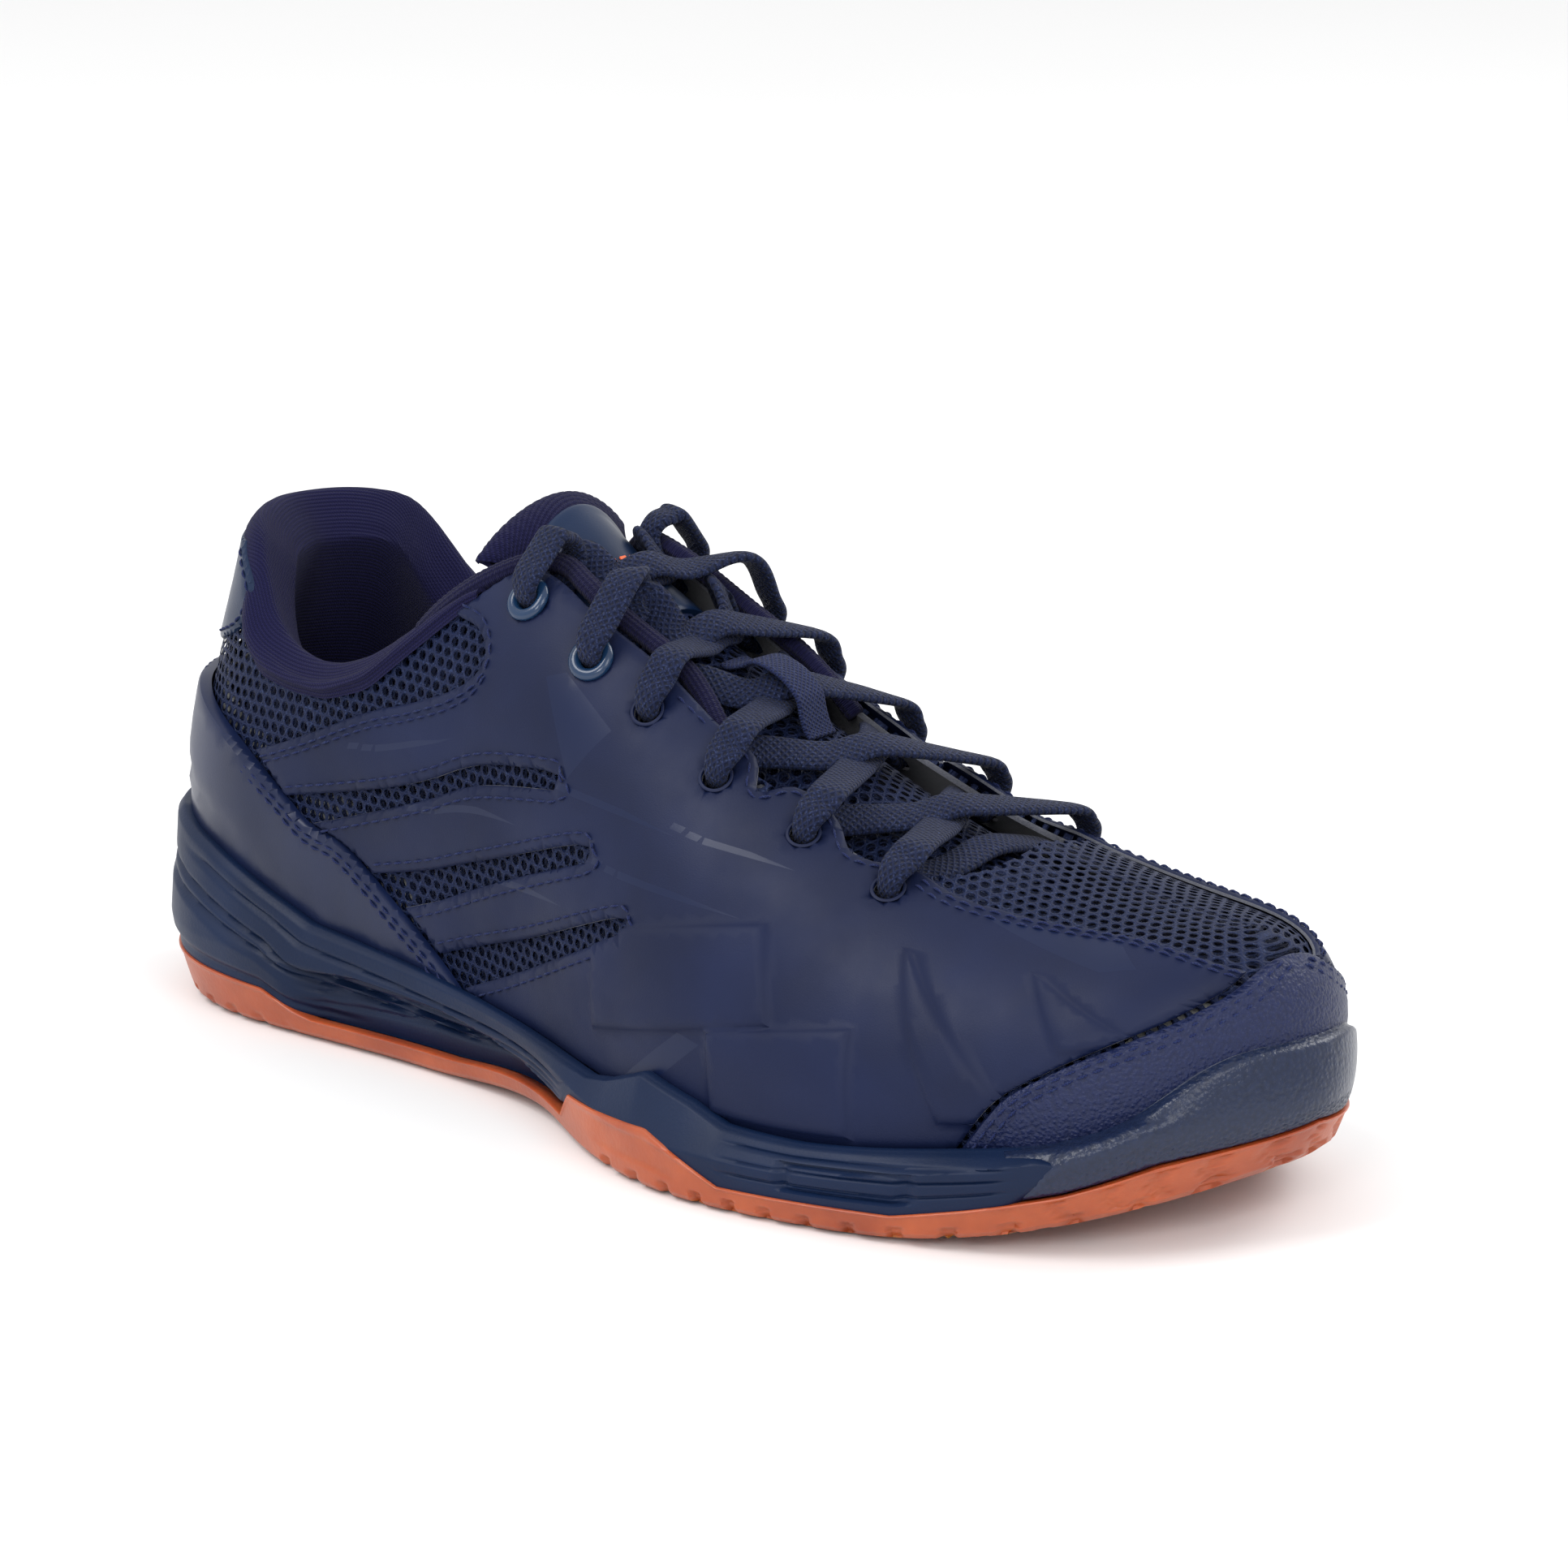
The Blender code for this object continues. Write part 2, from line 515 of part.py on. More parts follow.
def vamp_mesh():
    """Forefoot mesh: from the lateral quarter round the toe to the medial quarter, up to the throat and over the ridge."""
    throat = lateral([*rows_of(THROAT, 0.643, 0.74, -0.02), (0.765, 0.70)])
    throat_end = lateral([(0.765, 0.70), (0.785, 0.78), (0.79, 0.9), (0.785, 1.0)])
    ridge = [(-0.785, 1.0), (-1.0, 1.0), (-1.215, 1.0)]
    half = [lateral([(1.0, 0.0), (0.643, 0.0)]), lateral([(0.643, 0.0), (0.643, table(THROAT, 0.643) - 0.02)]), throat, throat_end]
    far = [[(-2 - a, h) for a, h in reversed(run)] for run in reversed(half)]
    loops = [outline(*half, ridge[:2], ridge[1:], *far)]
    holes = eyelet_holes(-1, EYELET_HOLE)[4:]
    panel("vamp_mesh", NAVY_MESH, [*loops, *holes, *[loop[::-1] * [-1, 1] + [-2, 0] for loop in holes]], MESH)


def toe_cap():
    seam = [(0.850, 0.0), (0.872, 0.135), (0.90, 0.22), (0.928, 0.303), (0.95, 0.393), (0.968, 0.51), (0.980, 0.62), (0.99, 0.69), (1.0, 0.71)]
    near = lateral(seam)
    far = [(-2 + a, h) for a, h in reversed(seam)]
    loops = [outline(near, far, [(-1.150, 0.0), (-0.850, 0.0)])]
    panel("toe_cap", NAVY_PU, loops, TOE_CAP)


def heel_counter():
    edge = rows_of(COUNTER_TOP, 0.0, 0.382)
    near = [(-max(a - 0.004, 0), h) for a, h in edge]
    loops = [outline([(a, h) for a, h in reversed(near)], [(-a, h) for a, h in near], [(0.378, 0.0), (-0.378, 0.0)])]
    panel("heel_counter", GLOSS_NAVY, loops, COUNTER)


def heel_patch():
    side_edge = [(0.085, 0.655), (0.135, 0.70), (0.142, 0.80), (0.105, 0.91)]
    loops = [
        outline(
            lateral(side_edge),
            [(-0.105, 0.91), (0.0, 0.945), (0.105, 0.91)],
            list(reversed(side_edge)),
            [(0.085, 0.655), (0.0, 0.645), (-0.085, 0.655)],
        )
    ]
    panel("heel_patch", GLOSS_NAVY, loops, (1.7, 2.6))


def eyestay_backings():
    """Felt strips behind the eyelets."""
    upper = rows_of(THROAT, 0.40, 0.765, -0.02)
    lower = [(a, h - 0.16) for a, h in reversed(upper)]
    loops = [outline(lateral(upper), lateral([upper[-1], lower[0]]), lateral(lower), lateral([lower[-1], upper[0]]))]
    loops += eyelet_holes(-1, EYELET_HOLE)
    panel("eyestay_backing_lateral", FELT, loops, BACKING)
    panel("eyestay_backing_medial", FELT, mirrored(loops), BACKING)


def stiffeners():
    """Moulded toe puff and heel stiffener, between the mesh and the lining."""
    edge = [(0.90, 0.03), (0.93, 0.30), (0.96, 0.52), (1.0, 0.60)]
    near = lateral(edge)
    loops = [outline(near, [(-2 + a, h) for a, h in reversed(edge)], [(-1.10, 0.03), (-0.90, 0.03)])]
    panel("toe_puff", STIFF, loops, STIFFENER)
    edge = [(0.0, 0.55), (0.09, 0.53), (0.18, 0.42), (0.27, 0.30), (0.33, 0.12), (0.345, 0.03)]
    loops = [outline([(-a, h) for a, h in reversed(edge)], edge, [(0.345, 0.03), (-0.345, 0.03)])]
    panel("heel_stiffener", STIFF, loops, STIFFENER)


def vamp_lining():
    top = [(0.385, 0.50), (0.45, 0.545), (0.55, 0.53), (0.65, 0.49), (0.74, 0.46), (0.80, 0.52), (0.825, 0.70), (0.82, 1.0)]
    half = [lateral([(1.0, 0.03), (0.385, 0.03)]), lateral([(0.385, 0.03), (0.385, 0.50)]), lateral(top)]
    far = [[(-2 - a, h) for a, h in reversed(run)] for run in reversed(half)]
    ridge = [[(-0.82, 1.0), (-1.0, 1.0)], [(-1.0, 1.0), (-1.18, 1.0)]]
    panel("vamp_lining", NAVY_MESH, [outline(*half, *ridge, *far)], LINING)


def padding(a, h):
    """Thickness of the collar's foam: fullest below the top line, and thin in front."""
    high = np.clip((h - 0.42) / 0.2, 0, 1) * np.clip((table(COLLAR_TOP, a) + 0.06 - h) / 0.14, 0.35, 1)
    return high * np.interp(abs(a), [0, 0.12, 0.22, 0.36], [6.5, 7.0, 4.5, 2.0])


COLLAR_STATIONS = np.linspace(-0.36, 0.36, 37)


def collar():
    """Knit that wraps the collar: outer flap, rolled top line and lining down to the strobel board, round a foam core."""
    outer, inner, foam_out, foam_in = [], [], [], []
    for a in COLLAR_STATIONS:
        top, edge = table(COLLAR_TOP, a), table(KNIT_EDGE, a)
        low = 0.04
        body = [low, 0.3, *np.linspace(0.5, max(top - 0.055, 0.56), 3)]
        outer.append(
            [skin(a, edge, 1.0), skin(a, (edge + top) / 2, 1.0), skin(a, top - 0.015, 0.8), skin(a, top + 0.012, -1.2)]
            + [skin(a, top - 0.005, -3.6 - padding(a, top) * 0.8)]
            + [skin(a, h, -5.1 - padding(a, h)) for h in reversed(body)]
        )
        inner.append(
            [skin(a, edge, 0.1), skin(a, (edge + top) / 2, 0.1), skin(a, top - 0.022, 0.0), skin(a, top - 0.006, -1.4)]
            + [skin(a, top - 0.018, -2.9 - padding(a, top) * 0.8)]
            + [skin(a, h, -4.3 - padding(a, h)) for h in reversed(body)]
        )
        heights = np.linspace(0.5, max(top - 0.055, 0.56), 3)
        foam_out.append([skin(a, h, -3.6 if h < 0.57 else -2.6) for h in heights])
        foam_in.append([skin(a, h, -3.7 - padding(a, h)) for h in heights])
    shell("collar_lining", KNIT, outer, inner)
    shell("collar_foam", FOAM, foam_out, foam_in)


def sweep(name, look, path, hints, width, thick, sides=4, narrow=None):
    """Flat cord along a path. Each hint is the way its flat face looks there, or zero where it may turn and is narrow."""
    path, hints = np.asarray(path, float), np.asarray(hints, float)
    tangents = unit(np.gradient(path, axis=0))
    face = hints[0]
    rings = []
    for i, (point, tangent) in enumerate(zip(path, tangents)):
        if i:
            face = face - tangent * (face @ tangent)
            face = face + 2.0 * hints[i] * np.linalg.norm(hints[i])
        face = unit(face - tangent * (face @ tangent))
        across = np.cross(tangent, face)
        wide = width if narrow is None else narrow + (width - narrow) * min(1, np.linalg.norm(hints[i]))
        turns = 2 * np.pi * (np.arange(sides) + 0.5) / sides
        reach = math.sqrt(2) if sides == 4 else 1
        rings.append(
            [point + reach * (across * wide / 2 * math.cos(t) + face * thick / 2 * math.sin(t)) for t in turns]
        )
    count = len(rings)
    points = np.array(rings).reshape(-1, 3)
    faces = [
        (i * sides + k, i * sides + (k + 1) % sides, (i + 1) * sides + (k + 1) % sides, (i + 1) * sides + k)
        for i in range(count - 1)
        for k in range(sides)
    ]
    faces += [tuple(range(sides))[::-1], tuple((count - 1) * sides + k for k in range(sides))]
    return make(name, look, points, faces)


def resample(points, step, even=True):
    """Points along a smooth curve: evenly spaced, or with every given point kept and the long gaps filled."""
    points = np.asarray(points, float)
    ends = np.concatenate([[2 * points[0] - points[1]], points, [2 * points[-1] - points[-2]]])
    line = [points[0]]
    for i in range(1, len(ends) - 2):
        p0, p1, p2, p3 = ends[i - 1 : i + 3]
        count = 12 if even else math.ceil(np.linalg.norm((p2 - p1)[:3]) / step)
        for t in np.linspace(0, 1, count + 1)[1:]:
            bend = (2 * p0 - 5 * p1 + 4 * p2 - p3) * t**2 + (3 * p1 - p0 - 3 * p2 + p3) * t**3
            line.append(0.5 * (2 * p1 + (p2 - p0) * t + bend))
    line = np.array(line)
    if not even:
        return line
    run = np.concatenate([[0], np.cumsum(np.linalg.norm(np.diff(line, axis=0)[:, :3], axis=1))])
    places = np.linspace(0, run[-1], max(3, round(run[-1] / step) + 1))
    return np.stack([np.interp(places, run, line[:, i]) for i in range(line.shape[1])], -1)


def throat_pipings():
    """Knit piping along the edge of the eyestay, from the collar to below the second eyelet."""
    for name, sign in (("throat_piping_lateral", -1), ("throat_piping_medial", 1)):
        along = [(0.38, 0.832), (0.40, 0.845), (0.42, 0.852), (0.445, 0.836), (0.47, 0.822), (0.512, 0.817)]
        route = resample([skin(sign * a, h, -0.8) for a, h in along], 4.0)
        facing = [skin(sign * 0.44, 0.83, 1.0) - skin(sign * 0.44, 0.83, 0.0)] * len(route)
        sweep(name, KNIT, route, facing, 2.8, 2.8, 8)


# ---- sole ----

TOE_STATIONS = [0.866, 0.884, 0.900, 0.915, 0.94]
SOLE_STATIONS = sorted(
    [a for a in np.linspace(-1, 1, 57)[:-1] if not 0.85 < abs(a) < 0.95]
    + [sign * a for a in TOE_STATIONS for sign in (-1, 1)]
)
BED_A = np.linspace(0.03, 0.97, 48)
BED_X = (upper_ring(BED_A)[:, 0] + upper_ring(-BED_A)[:, 0]) / 2
BED_Z = (upper_ring(BED_A)[:, 2] + upper_ring(-BED_A)[:, 2]) / 2


def bed_height(x):
    """Height of the feather line at a place along the shoe, the mean of its two sides."""
    return np.interp(x, BED_X, BED_Z)



def toe_blend(a):
    """How far the midsole's rim has come down, and in, to make room for the toe guard."""
    return float(np.clip((abs(a) - 0.866) / 0.018, 0, 1)), float(np.clip((abs(a) - 0.884) / 0.016, 0, 1))


def outsole_top(a):
    return max(table(OUTSOLE_TOP, a), bottom(ground_ring(a)[0]) + OUTSOLE_FLOOR + 0.7)


def between(p, q, share):
    return p + (q - p) * share


def outsole():
    outer, inner = [], []
    for a in SOLE_STATIONS:
        ground = ground_ring(a)
        tread = bottom(ground[0])
        rim = outsole_top(a)
        middle = spine(a, 0)
        floor = tread + OUTSOLE_FLOOR
        low = np.array([ground[0], ground[1], tread]) - outward(a) * 2.0
        middle[2] = bottom(middle[0])
        corner = side(a, floor, OUTSOLE_WALL)
        top_middle = np.array([middle[0], middle[1], middle[2] + OUTSOLE_FLOOR])
        outer.append([middle, between(middle, low, 0.6), low, side(a, tread + 1.2), side(a, rim)])
        inner.append([top_middle, between(top_middle, corner, 0.6), corner, corner, side(a, rim, OUTSOLE_WALL)])
    for line in (outer, inner):
        for row in line:
            row[1][2] = bottom(row[1][0]) + (0 if line is outer else OUTSOLE_FLOOR)
    shell("outsole", GUM, outer, inner, closed=True)


SHANK_X = (78.0, 148.0)


def midsole_floor(x):
    """Underside of the midsole: on the outsole, and lifted over the shank plate."""
    lifted = float(SHANK_X[0] - 10 < x < SHANK_X[1] + 10) * (SHANK + GAP)
    return bottom(x) + OUTSOLE_FLOOR + SOLE_GAP + lifted


def midsole():
    outer, inner = [], []
    for a in SOLE_STATIONS:
        drop, toe = toe_blend(a)
        away = outward(a)
        feather = upper_ring(a)[:3]
        bed = footbed(a)
        wall = OUTSOLE_WALL + SOLE_GAP
        cover = toe * 3.4  # the toe guard lies outside the midsole here
        ground = ground_ring(a)
        floor = midsole_floor(ground[0])
        rim = max(outsole_top(a) + GAP, floor + 0.5)
        middle = spine(a, 0)
        low_middle = np.array([middle[0], middle[1], midsole_floor(middle[0])])
        corner = side(a, floor, wall)
        under = between(low_middle, corner, 0.6)
        under[2] = midsole_floor(under[0])
        low_rim = np.array([0, 0, -1.2])
        lip_out = between(surface(a, table(CUP_TOP, a)) + away * CUP_OUTER, feather + away * CUP_OUTER + low_rim, drop)
        lip_out = between(lip_out, feather + away * 1.2 + low_rim, toe)
        wide = min(max(wide_ring(a)[2], rim + 0.8), lip_out[2] - 0.6)
        widest = between(side(a, wide, cover), between(side(a, rim, cover), lip_out, 0.5), toe)
        outer.append([low_middle, under, corner, side(a, rim, wall), side(a, rim + 0.01, cover), widest, lip_out])
        bed_middle = np.array([middle[0], middle[1], bed_height(middle[0]) - FOOTBED_DROP])
        low_lip = feather + away * CUP_INNER - [0, 0, FOOTBED_DROP]
        lip_in = between(surface(a, table(CUP_TOP, a)) + away * CUP_INNER, low_lip, drop)
        lip_in = between(lip_in, feather + away * 0.8 - [0, 0, FOOTBED_DROP], toe)
        inner_foot = between(low_lip, feather - away * 2.0 - [0, 0, FOOTBED_DROP], drop)
        halfway = 0.4 if abs(a) < 0.86 else round(drop)
        steps = [between(inner_foot, lip_in, share) for share in (0, halfway, 1)]
        inner.append([bed_middle, between(bed_middle, inner_foot, 0.5), between(bed_middle, inner_foot, 0.9), *steps, lip_in])
    made = shell("midsole", NAVY_EVA, outer, inner, closed=True)
    for pocket in (HEEL_POCKET, FOREFOOT_POCKET):
        cutter = pill(f"{pocket['name']}_cutter", NAVY_EVA, pocket, GAP, 30.0)
        cutter.hide_render = True
        cutter.display_type = "WIRE"
        cut = made.modifiers.new(f"{pocket['name']}_pocket", "BOOLEAN")
        cut.operation = "DIFFERENCE"
        cut.object = cutter


HEEL_POCKET = {"name": "heel_cushion", "centre": (48, 0), "radii": (25, 19), "low": 12.5, "high": 20.4}
FOREFOOT_POCKET = {"name": "forefoot_cushion", "centre": (196, -3), "radii": (27, 28), "low": 6.5, "high": 11.8}


def pill(name, look, pocket, grow, high=None):
    """Oval pad, or the slightly larger block that cuts its pocket."""
    turns = np.linspace(0, 2 * np.pi, 29)[:-1]
    x = pocket["centre"][0] + (pocket["radii"][0] + grow) * np.cos(turns)
    y = pocket["centre"][1] + (pocket["radii"][1] + grow) * np.sin(turns)
    top = high or pocket["high"]
    low = pocket["low"] - grow
    count = len(turns)
    points = [*zip(x, y, np.full(count, low)), *zip(x, y, np.full(count, top))]
    faces = [(i, (i + 1) % count, count + (i + 1) % count, count + i) for i in range(count)]
    faces += [tuple(range(count))[::-1], tuple(range(count, 2 * count))]
    return make(name, look, points, faces)


def cushions():
    pill("heel_cushion", GUM, HEEL_POCKET, 0.0)
    pill("forefoot_cushion", GUM, FOREFOOT_POCKET, 0.0)


def shank_plate():
    """Moulded plate under the arch, whose edges show between the midsole and the outsole."""
    stations = np.linspace(*SHANK_X, 10)
    around = np.linspace(0.05, 0.95, 181)
    low, high = [], []
    for x in stations:
        edges = []
        for sign in (-1, 1):
            a = sign * np.interp(x, ground_ring(sign * around)[:, 0], around)
            z = bottom(x) + OUTSOLE_FLOOR + GAP
            edges.append(side(a, z, 3.4))
        across = [between(edges[0], edges[1], share) for share in (0, 0.4, 0.6, 1)]
        low.append([np.array([x, p[1], bottom(x) + OUTSOLE_FLOOR + GAP]) for p in across])
        high.append([np.array([x, p[1], bottom(x) + OUTSOLE_FLOOR + GAP + SHANK - 0.3]) for p in across])
    shell("shank_plate", GLOSS_NAVY, high, low)


def layer_in_shoe(name, look, inset, heights, edge_lift=0.0):
    """Flat layer that follows the inside of the feather line, such as the strobel board or the insole."""
    top, under = [], []
    for a in SOLE_STATIONS:
        row = upper_ring(a)
        rim = row[:3] - outward(a) * inset
        middle = spine(a, 0)
        middle[2] = bed_height(middle[0])
        lines = []
        for z, lift in ((heights[1], edge_lift), (heights[0], 0)):
            lines.append(
                [
                    middle + [0, 0, z],
                    between(middle, rim, 0.5) + [0, 0, z],
                    between(middle, rim, 0.9) + [0, 0, z],
                    np.array([rim[0], rim[1], row[2] + z + lift]),
                ]
            )
        top.append(lines[0])
        under.append(lines[1])
    return shell(name, look, top, under, closed=True)


def toe_guard():
    """Rubber bumper round the toe, from the outsole's toe band to part of the way up the toe cap."""
    stations = np.concatenate([np.linspace(-0.915, -1, 9)[:-1], np.linspace(1, 0.915, 9)])
    outer, inner = [], []
    for a in stations:
        top = float(np.interp(abs(a), [0.9, 0.93, 0.943, 0.958, 0.968, 0.985, 1], [0.015, 0.04, 0.07, 0.206, 0.306, 0.35, 0.36]))
        away = outward(a)
        feather = upper_ring(a)[:3]
        low = outsole_top(a) + GAP
        wide = min(max(wide_ring(a)[2], low + 1), feather[2] + 4)
        outer.append(
            [side(a, low), side(a, wide), between(side(a, wide), skin(a, top, 3.4), 0.55), skin(a, top * 0.8, 3.5), skin(a, top, 2.9)]
        )
        inner.append(
            [side(a, low, 2.6), feather + away * 2.1 - [0, 0, 1.2], skin(a, top * 0.3, 1.85), skin(a, top * 0.7, 1.85), skin(a, top, 1.85)]
        )
    shell("toe_guard", GLOSS_NAVY, outer, inner)


# ---- tongue ----


def tongue(x, across, depth):
    """Point of the tongue: across runs from -1 (lateral edge) to 1 (medial edge), depth is below its face."""
    row = [np.interp(x, [r[0] for r in TONGUE_ROWS], [r[i] for r in TONGUE_ROWS]) for i in (1, 2, 3, 4)]
    height, middle, half, hang = row
    slope = math.atan2(tongue_height(x - 1) - tongue_height(x + 1), 2)
    tilt = math.atan2(2 * hang * abs(across), half)
    down = depth * np.array([-math.sin(slope) * math.cos(tilt), -math.sin(tilt) * np.sign(across), -math.cos(slope) * math.cos(tilt)])
    return np.array([x, middle + half * across, height - hang * across**2]) + down


def tongue_height(x):
    return np.interp(x, [r[0] for r in TONGUE_ROWS], [r[1] for r in TONGUE_ROWS])


ACROSS = np.linspace(-1, 1, 9)


def cut_back(x, across):
    """Station of the tilting part: towards its lower edge, its sides stop short, so that they swing clear."""
    share = np.clip((x - PATCH_START) / (TONGUE_SEAM - PATCH_START), 0, 1)
    return x - TONGUE_NOTCH * share * across**2


def tongue_sheet(name, look, rows, face_depth, back_depth, edge=1.0, station=lambda x, across: x):
    outer = [[tongue(station(x, w), w * edge, face_depth) for w in ACROSS] for x in rows]
    inner = [[tongue(station(x, w), w * edge, back_depth) for w in ACROSS] for x in rows]
    return shell(name, look, outer, inner)


def tongue_top_pieces():
    """The part of the tongue that tilts: foam in a knit sleeve, and a smooth patch on its face."""
    patch_rows = np.linspace(PATCH_START, TONGUE_SEAM, 5)
    foam_rows = [103.5, 107, *patch_rows[:-1], TONGUE_SEAM - 0.5]
    tongue_sheet("tongue_patch", GLOSS_NAVY, patch_rows, 0.0, 1.1, station=cut_back)
    tongue_sheet("tongue_foam", FOAM, foam_rows, 1.7, 5.2, edge=0.88, station=cut_back)
    outer, inner = [], []
    for w in ACROSS:
        face = [tongue(x, w, -0.2) for x in (111.4, 107, 102)]
        crest = [tongue(98.5, w, 1.5), tongue(97, w, 4.0), tongue(99.0, w, 6.6)]
        back = [tongue(cut_back(x, w), w * 0.97, 7.3) for x in (104, 112, 120, 126, TONGUE_SEAM)]
        outer.append(face + crest + back)
        face = [tongue(x, w * 0.93, 1.0) for x in (111.4, 107, 103)]
        crest = [tongue(101.0, w * 0.93, 2.0), tongue(100.4, w * 0.93, 4.0), tongue(101.4, w * 0.93, 5.6)]
        back = [tongue(cut_back(x, w), w * 0.93, 6.3) for x in (104.5, 112, 120, 126, TONGUE_SEAM)]
        inner.append(face + crest + back)
    shell("tongue_knit", KNIT, outer, inner)


def tongue_low_pieces():
    """The part of the tongue that stays under the laces."""
    start = TONGUE_SEAM + 0.4
    tongue_sheet("tongue_mesh", NAVY_MESH, np.linspace(start, 217, 10), 0.0, 1.2)
    tongue_sheet("tongue_liner", FOAM, [*np.linspace(start, 217, 10)[:-1], 214], 1.7, 4.6, 0.92)
    rows, under = [], []
    for x, lift in ((146.5, 1.0), (149, 2.4), (151.5, 6.2), (157, 7.0), (162, 6.2), (165, 2.4), (168, 1.0)):
        rows.append([tongue(x, w, -lift) for w in (-0.16, 0.16)])
        under.append([tongue(x, w, -lift + 0.5) for w in (-0.16, 0.16)])
    shell("lace_loop", WEBBING, rows, under)


# ---- lacing ----


def eyelet_rings():
    """Moulded rings: a flange on the overlay and a barrel through all the layers."""
    for name, sign in (("lateral", -1), ("medial", 1)):
        for row in range(RINGED):
            a, h = sign * EYELETS[row][0], EYELETS[row][1]
            centre = surface(a, h)
            axis = normal(a, h)
            right = unit(np.cross(axis, [0, 0, 1.0]))
            up = np.cross(axis, right)
            profile = [(2.1, -3.4), (2.1, 2.1), (2.9, 2.5), (4.4, 2.1), (4.4, 1.6), (2.65, 1.6), (2.65, -3.4)]
            points, faces, turns = [], [], 20
            for t in range(turns):
                angle = 2 * math.pi * t / turns
                out = right * math.cos(angle) + up * math.sin(angle)
                points += [centre + out * radius + axis * height for radius, height in profile]
            count = len(profile)
            for t in range(turns):
                for k in range(count):
                    faces.append(
                        (t * count + k, t * count + (k + 1) % count, (t + 1) % turns * count + (k + 1) % count, (t + 1) % turns * count + k)
                    )
            make(f"eyelet_ring_{name}_{row + 1}", RING_BLUE, points, faces)


def eyelet_frame(row, sign):
    """Place of an eyelet, the way out of the shoe there, and the way up the side."""
    a, h = sign * EYELETS[row][0], EYELETS[row][1]
    at, up = surface(a, h), unit(surface(a, h + 0.02) - surface(a, h - 0.02))
    return at, normal(a, h), up


def eyelet_stops(row, sign, outwards):
    """Route and face hints through an eyelet: from under the eyestay's edge up and out, or the other way round."""
    at, n, up = eyelet_frame(row, sign)
    a = EYELETS[row][0]
    edge = np.linalg.norm(surface(sign * a, 0.875 if row < RINGED else table(THROAT, a) + 0.02) - at)
    rise = 3.9 if row < RINGED else 2.7
    stops = [
        (at + up * (edge + 0.5) - n * 4.9, n),
        (at + up * 4.5 - n * 4.9, n),
        (at + up * 0.8 - n * 4.6, 0.3 * n),
        (at - n * 3.4, 0 * n),
        (at - n * 1.0, 0 * n),
        (at + n * (rise - 1.7), 0 * n),
        (at + up * 1.5 + n * (rise - 0.1), 0.3 * n),
        (at + up * 4.8 + n * rise, n),
        (at + up * (edge + 1.2) + n * 3.4, n),
    ]
    return stops if outwards else stops[::-1]


def crossing(row, sign, over):
    """Route over the tongue from the underside of one eyelet to the outside of the next one on the other side."""
    x0, x1 = eyelet_frame(row, sign)[0][0], eyelet_frame(row + 1, -sign)[0][0]
    stops = []
    for share, height in ((0.36, 2.6), (0.5, 4.2 if over else 1.7), (0.62, 5.2 if over else 2.8)):
        x = x0 + (x1 - x0) * share
        w = sign * (1 - 2 * share)
        stops.append((tongue(x, w, -height), tongue(x, w, -1) - tongue(x, w, 0)))
    return stops


def bottom_bar(sign):
    x = eyelet_frame(5, sign)[0][0]
    return [(tongue(x, w, -2.2), np.array([0.2, 0, 1.0])) for w in (sign * 0.5, 0, -sign * 0.5)]


def lace_end(sign):
    """Free end at the top eyelet: from its outside, over the edge of the eyestay, tucked down inside."""
    at, n, up = eyelet_frame(0, sign)
    return [
        (at + up * 13.6 + n * 1.9, 0.5 * n),
        (at + up * 14.6 - n * 1.2, 0 * n),
        (at + up * 12.4 - n * 4.4, 0.5 * n),
        (at + up * 8.0 - n * 5.0, n),
        (at + up * 3.5 - n * 4.9 + np.array([-3.0, 0, 0]), n),
    ]


def lace_route():
    """One lace: in at the top lateral eyelet, down the rows to the straight bar, and back up to the medial one."""
    stops = list(reversed(lace_end(-1))) + eyelet_stops(0, -1, outwards=False)
    sign = -1
    for row in range(5):
        stops += crossing(row, sign, over=sign < 0)
        sign = -sign
        stops += eyelet_stops(row + 1, sign, outwards=False)
    stops += bottom_bar(sign)
    for row in range(4, -1, -1):
        stops += eyelet_stops(row + 1, -sign, outwards=True)
        stops += list(reversed(crossing(row, sign, over=sign < 0)))
        sign = -sign
    stops += eyelet_stops(0, 1, outwards=True)
    return stops + lace_end(1)


def lace_and_aglets():
    stops = lace_route()
    joined = resample([np.concatenate(stop) for stop in stops], 5.5, even=False)
    path, hints = joined[:, :3], joined[:, 3:]
    sweep("lace", LACE_BLUE, path, hints, LACE_WIDTH, LACE_THICK, narrow=LACE_NARROW)
    for name, sign, ends in (("aglet_lateral", -1, path[1::-1]), ("aglet_medial", 1, path[-2:])):
        run = unit(ends[1] - ends[0])
        start = ends[1] + run * GAP
        line = [start + run * d for d in np.linspace(0, 10, 3)]
        facing = normal(sign * EYELETS[0][0], EYELETS[0][1])
        sweep(name, RING_BLUE, line, [facing] * 3, 2.0, 1.3, 6)


def tilting_parent(names, name, place):
    """Parents pieces to an empty on their joint's axis."""
    axis = bpy.data.objects.new(name, None)
    axis.location = (np.asarray(place) - ORIGIN) * MM
    bpy.context.scene.collection.objects.link(axis)
    bpy.context.view_layer.update()
    for piece in names:
        made = bpy.data.objects[piece]
        made.parent = axis
        made.matrix_parent_inverse = axis.matrix_world.inverted()


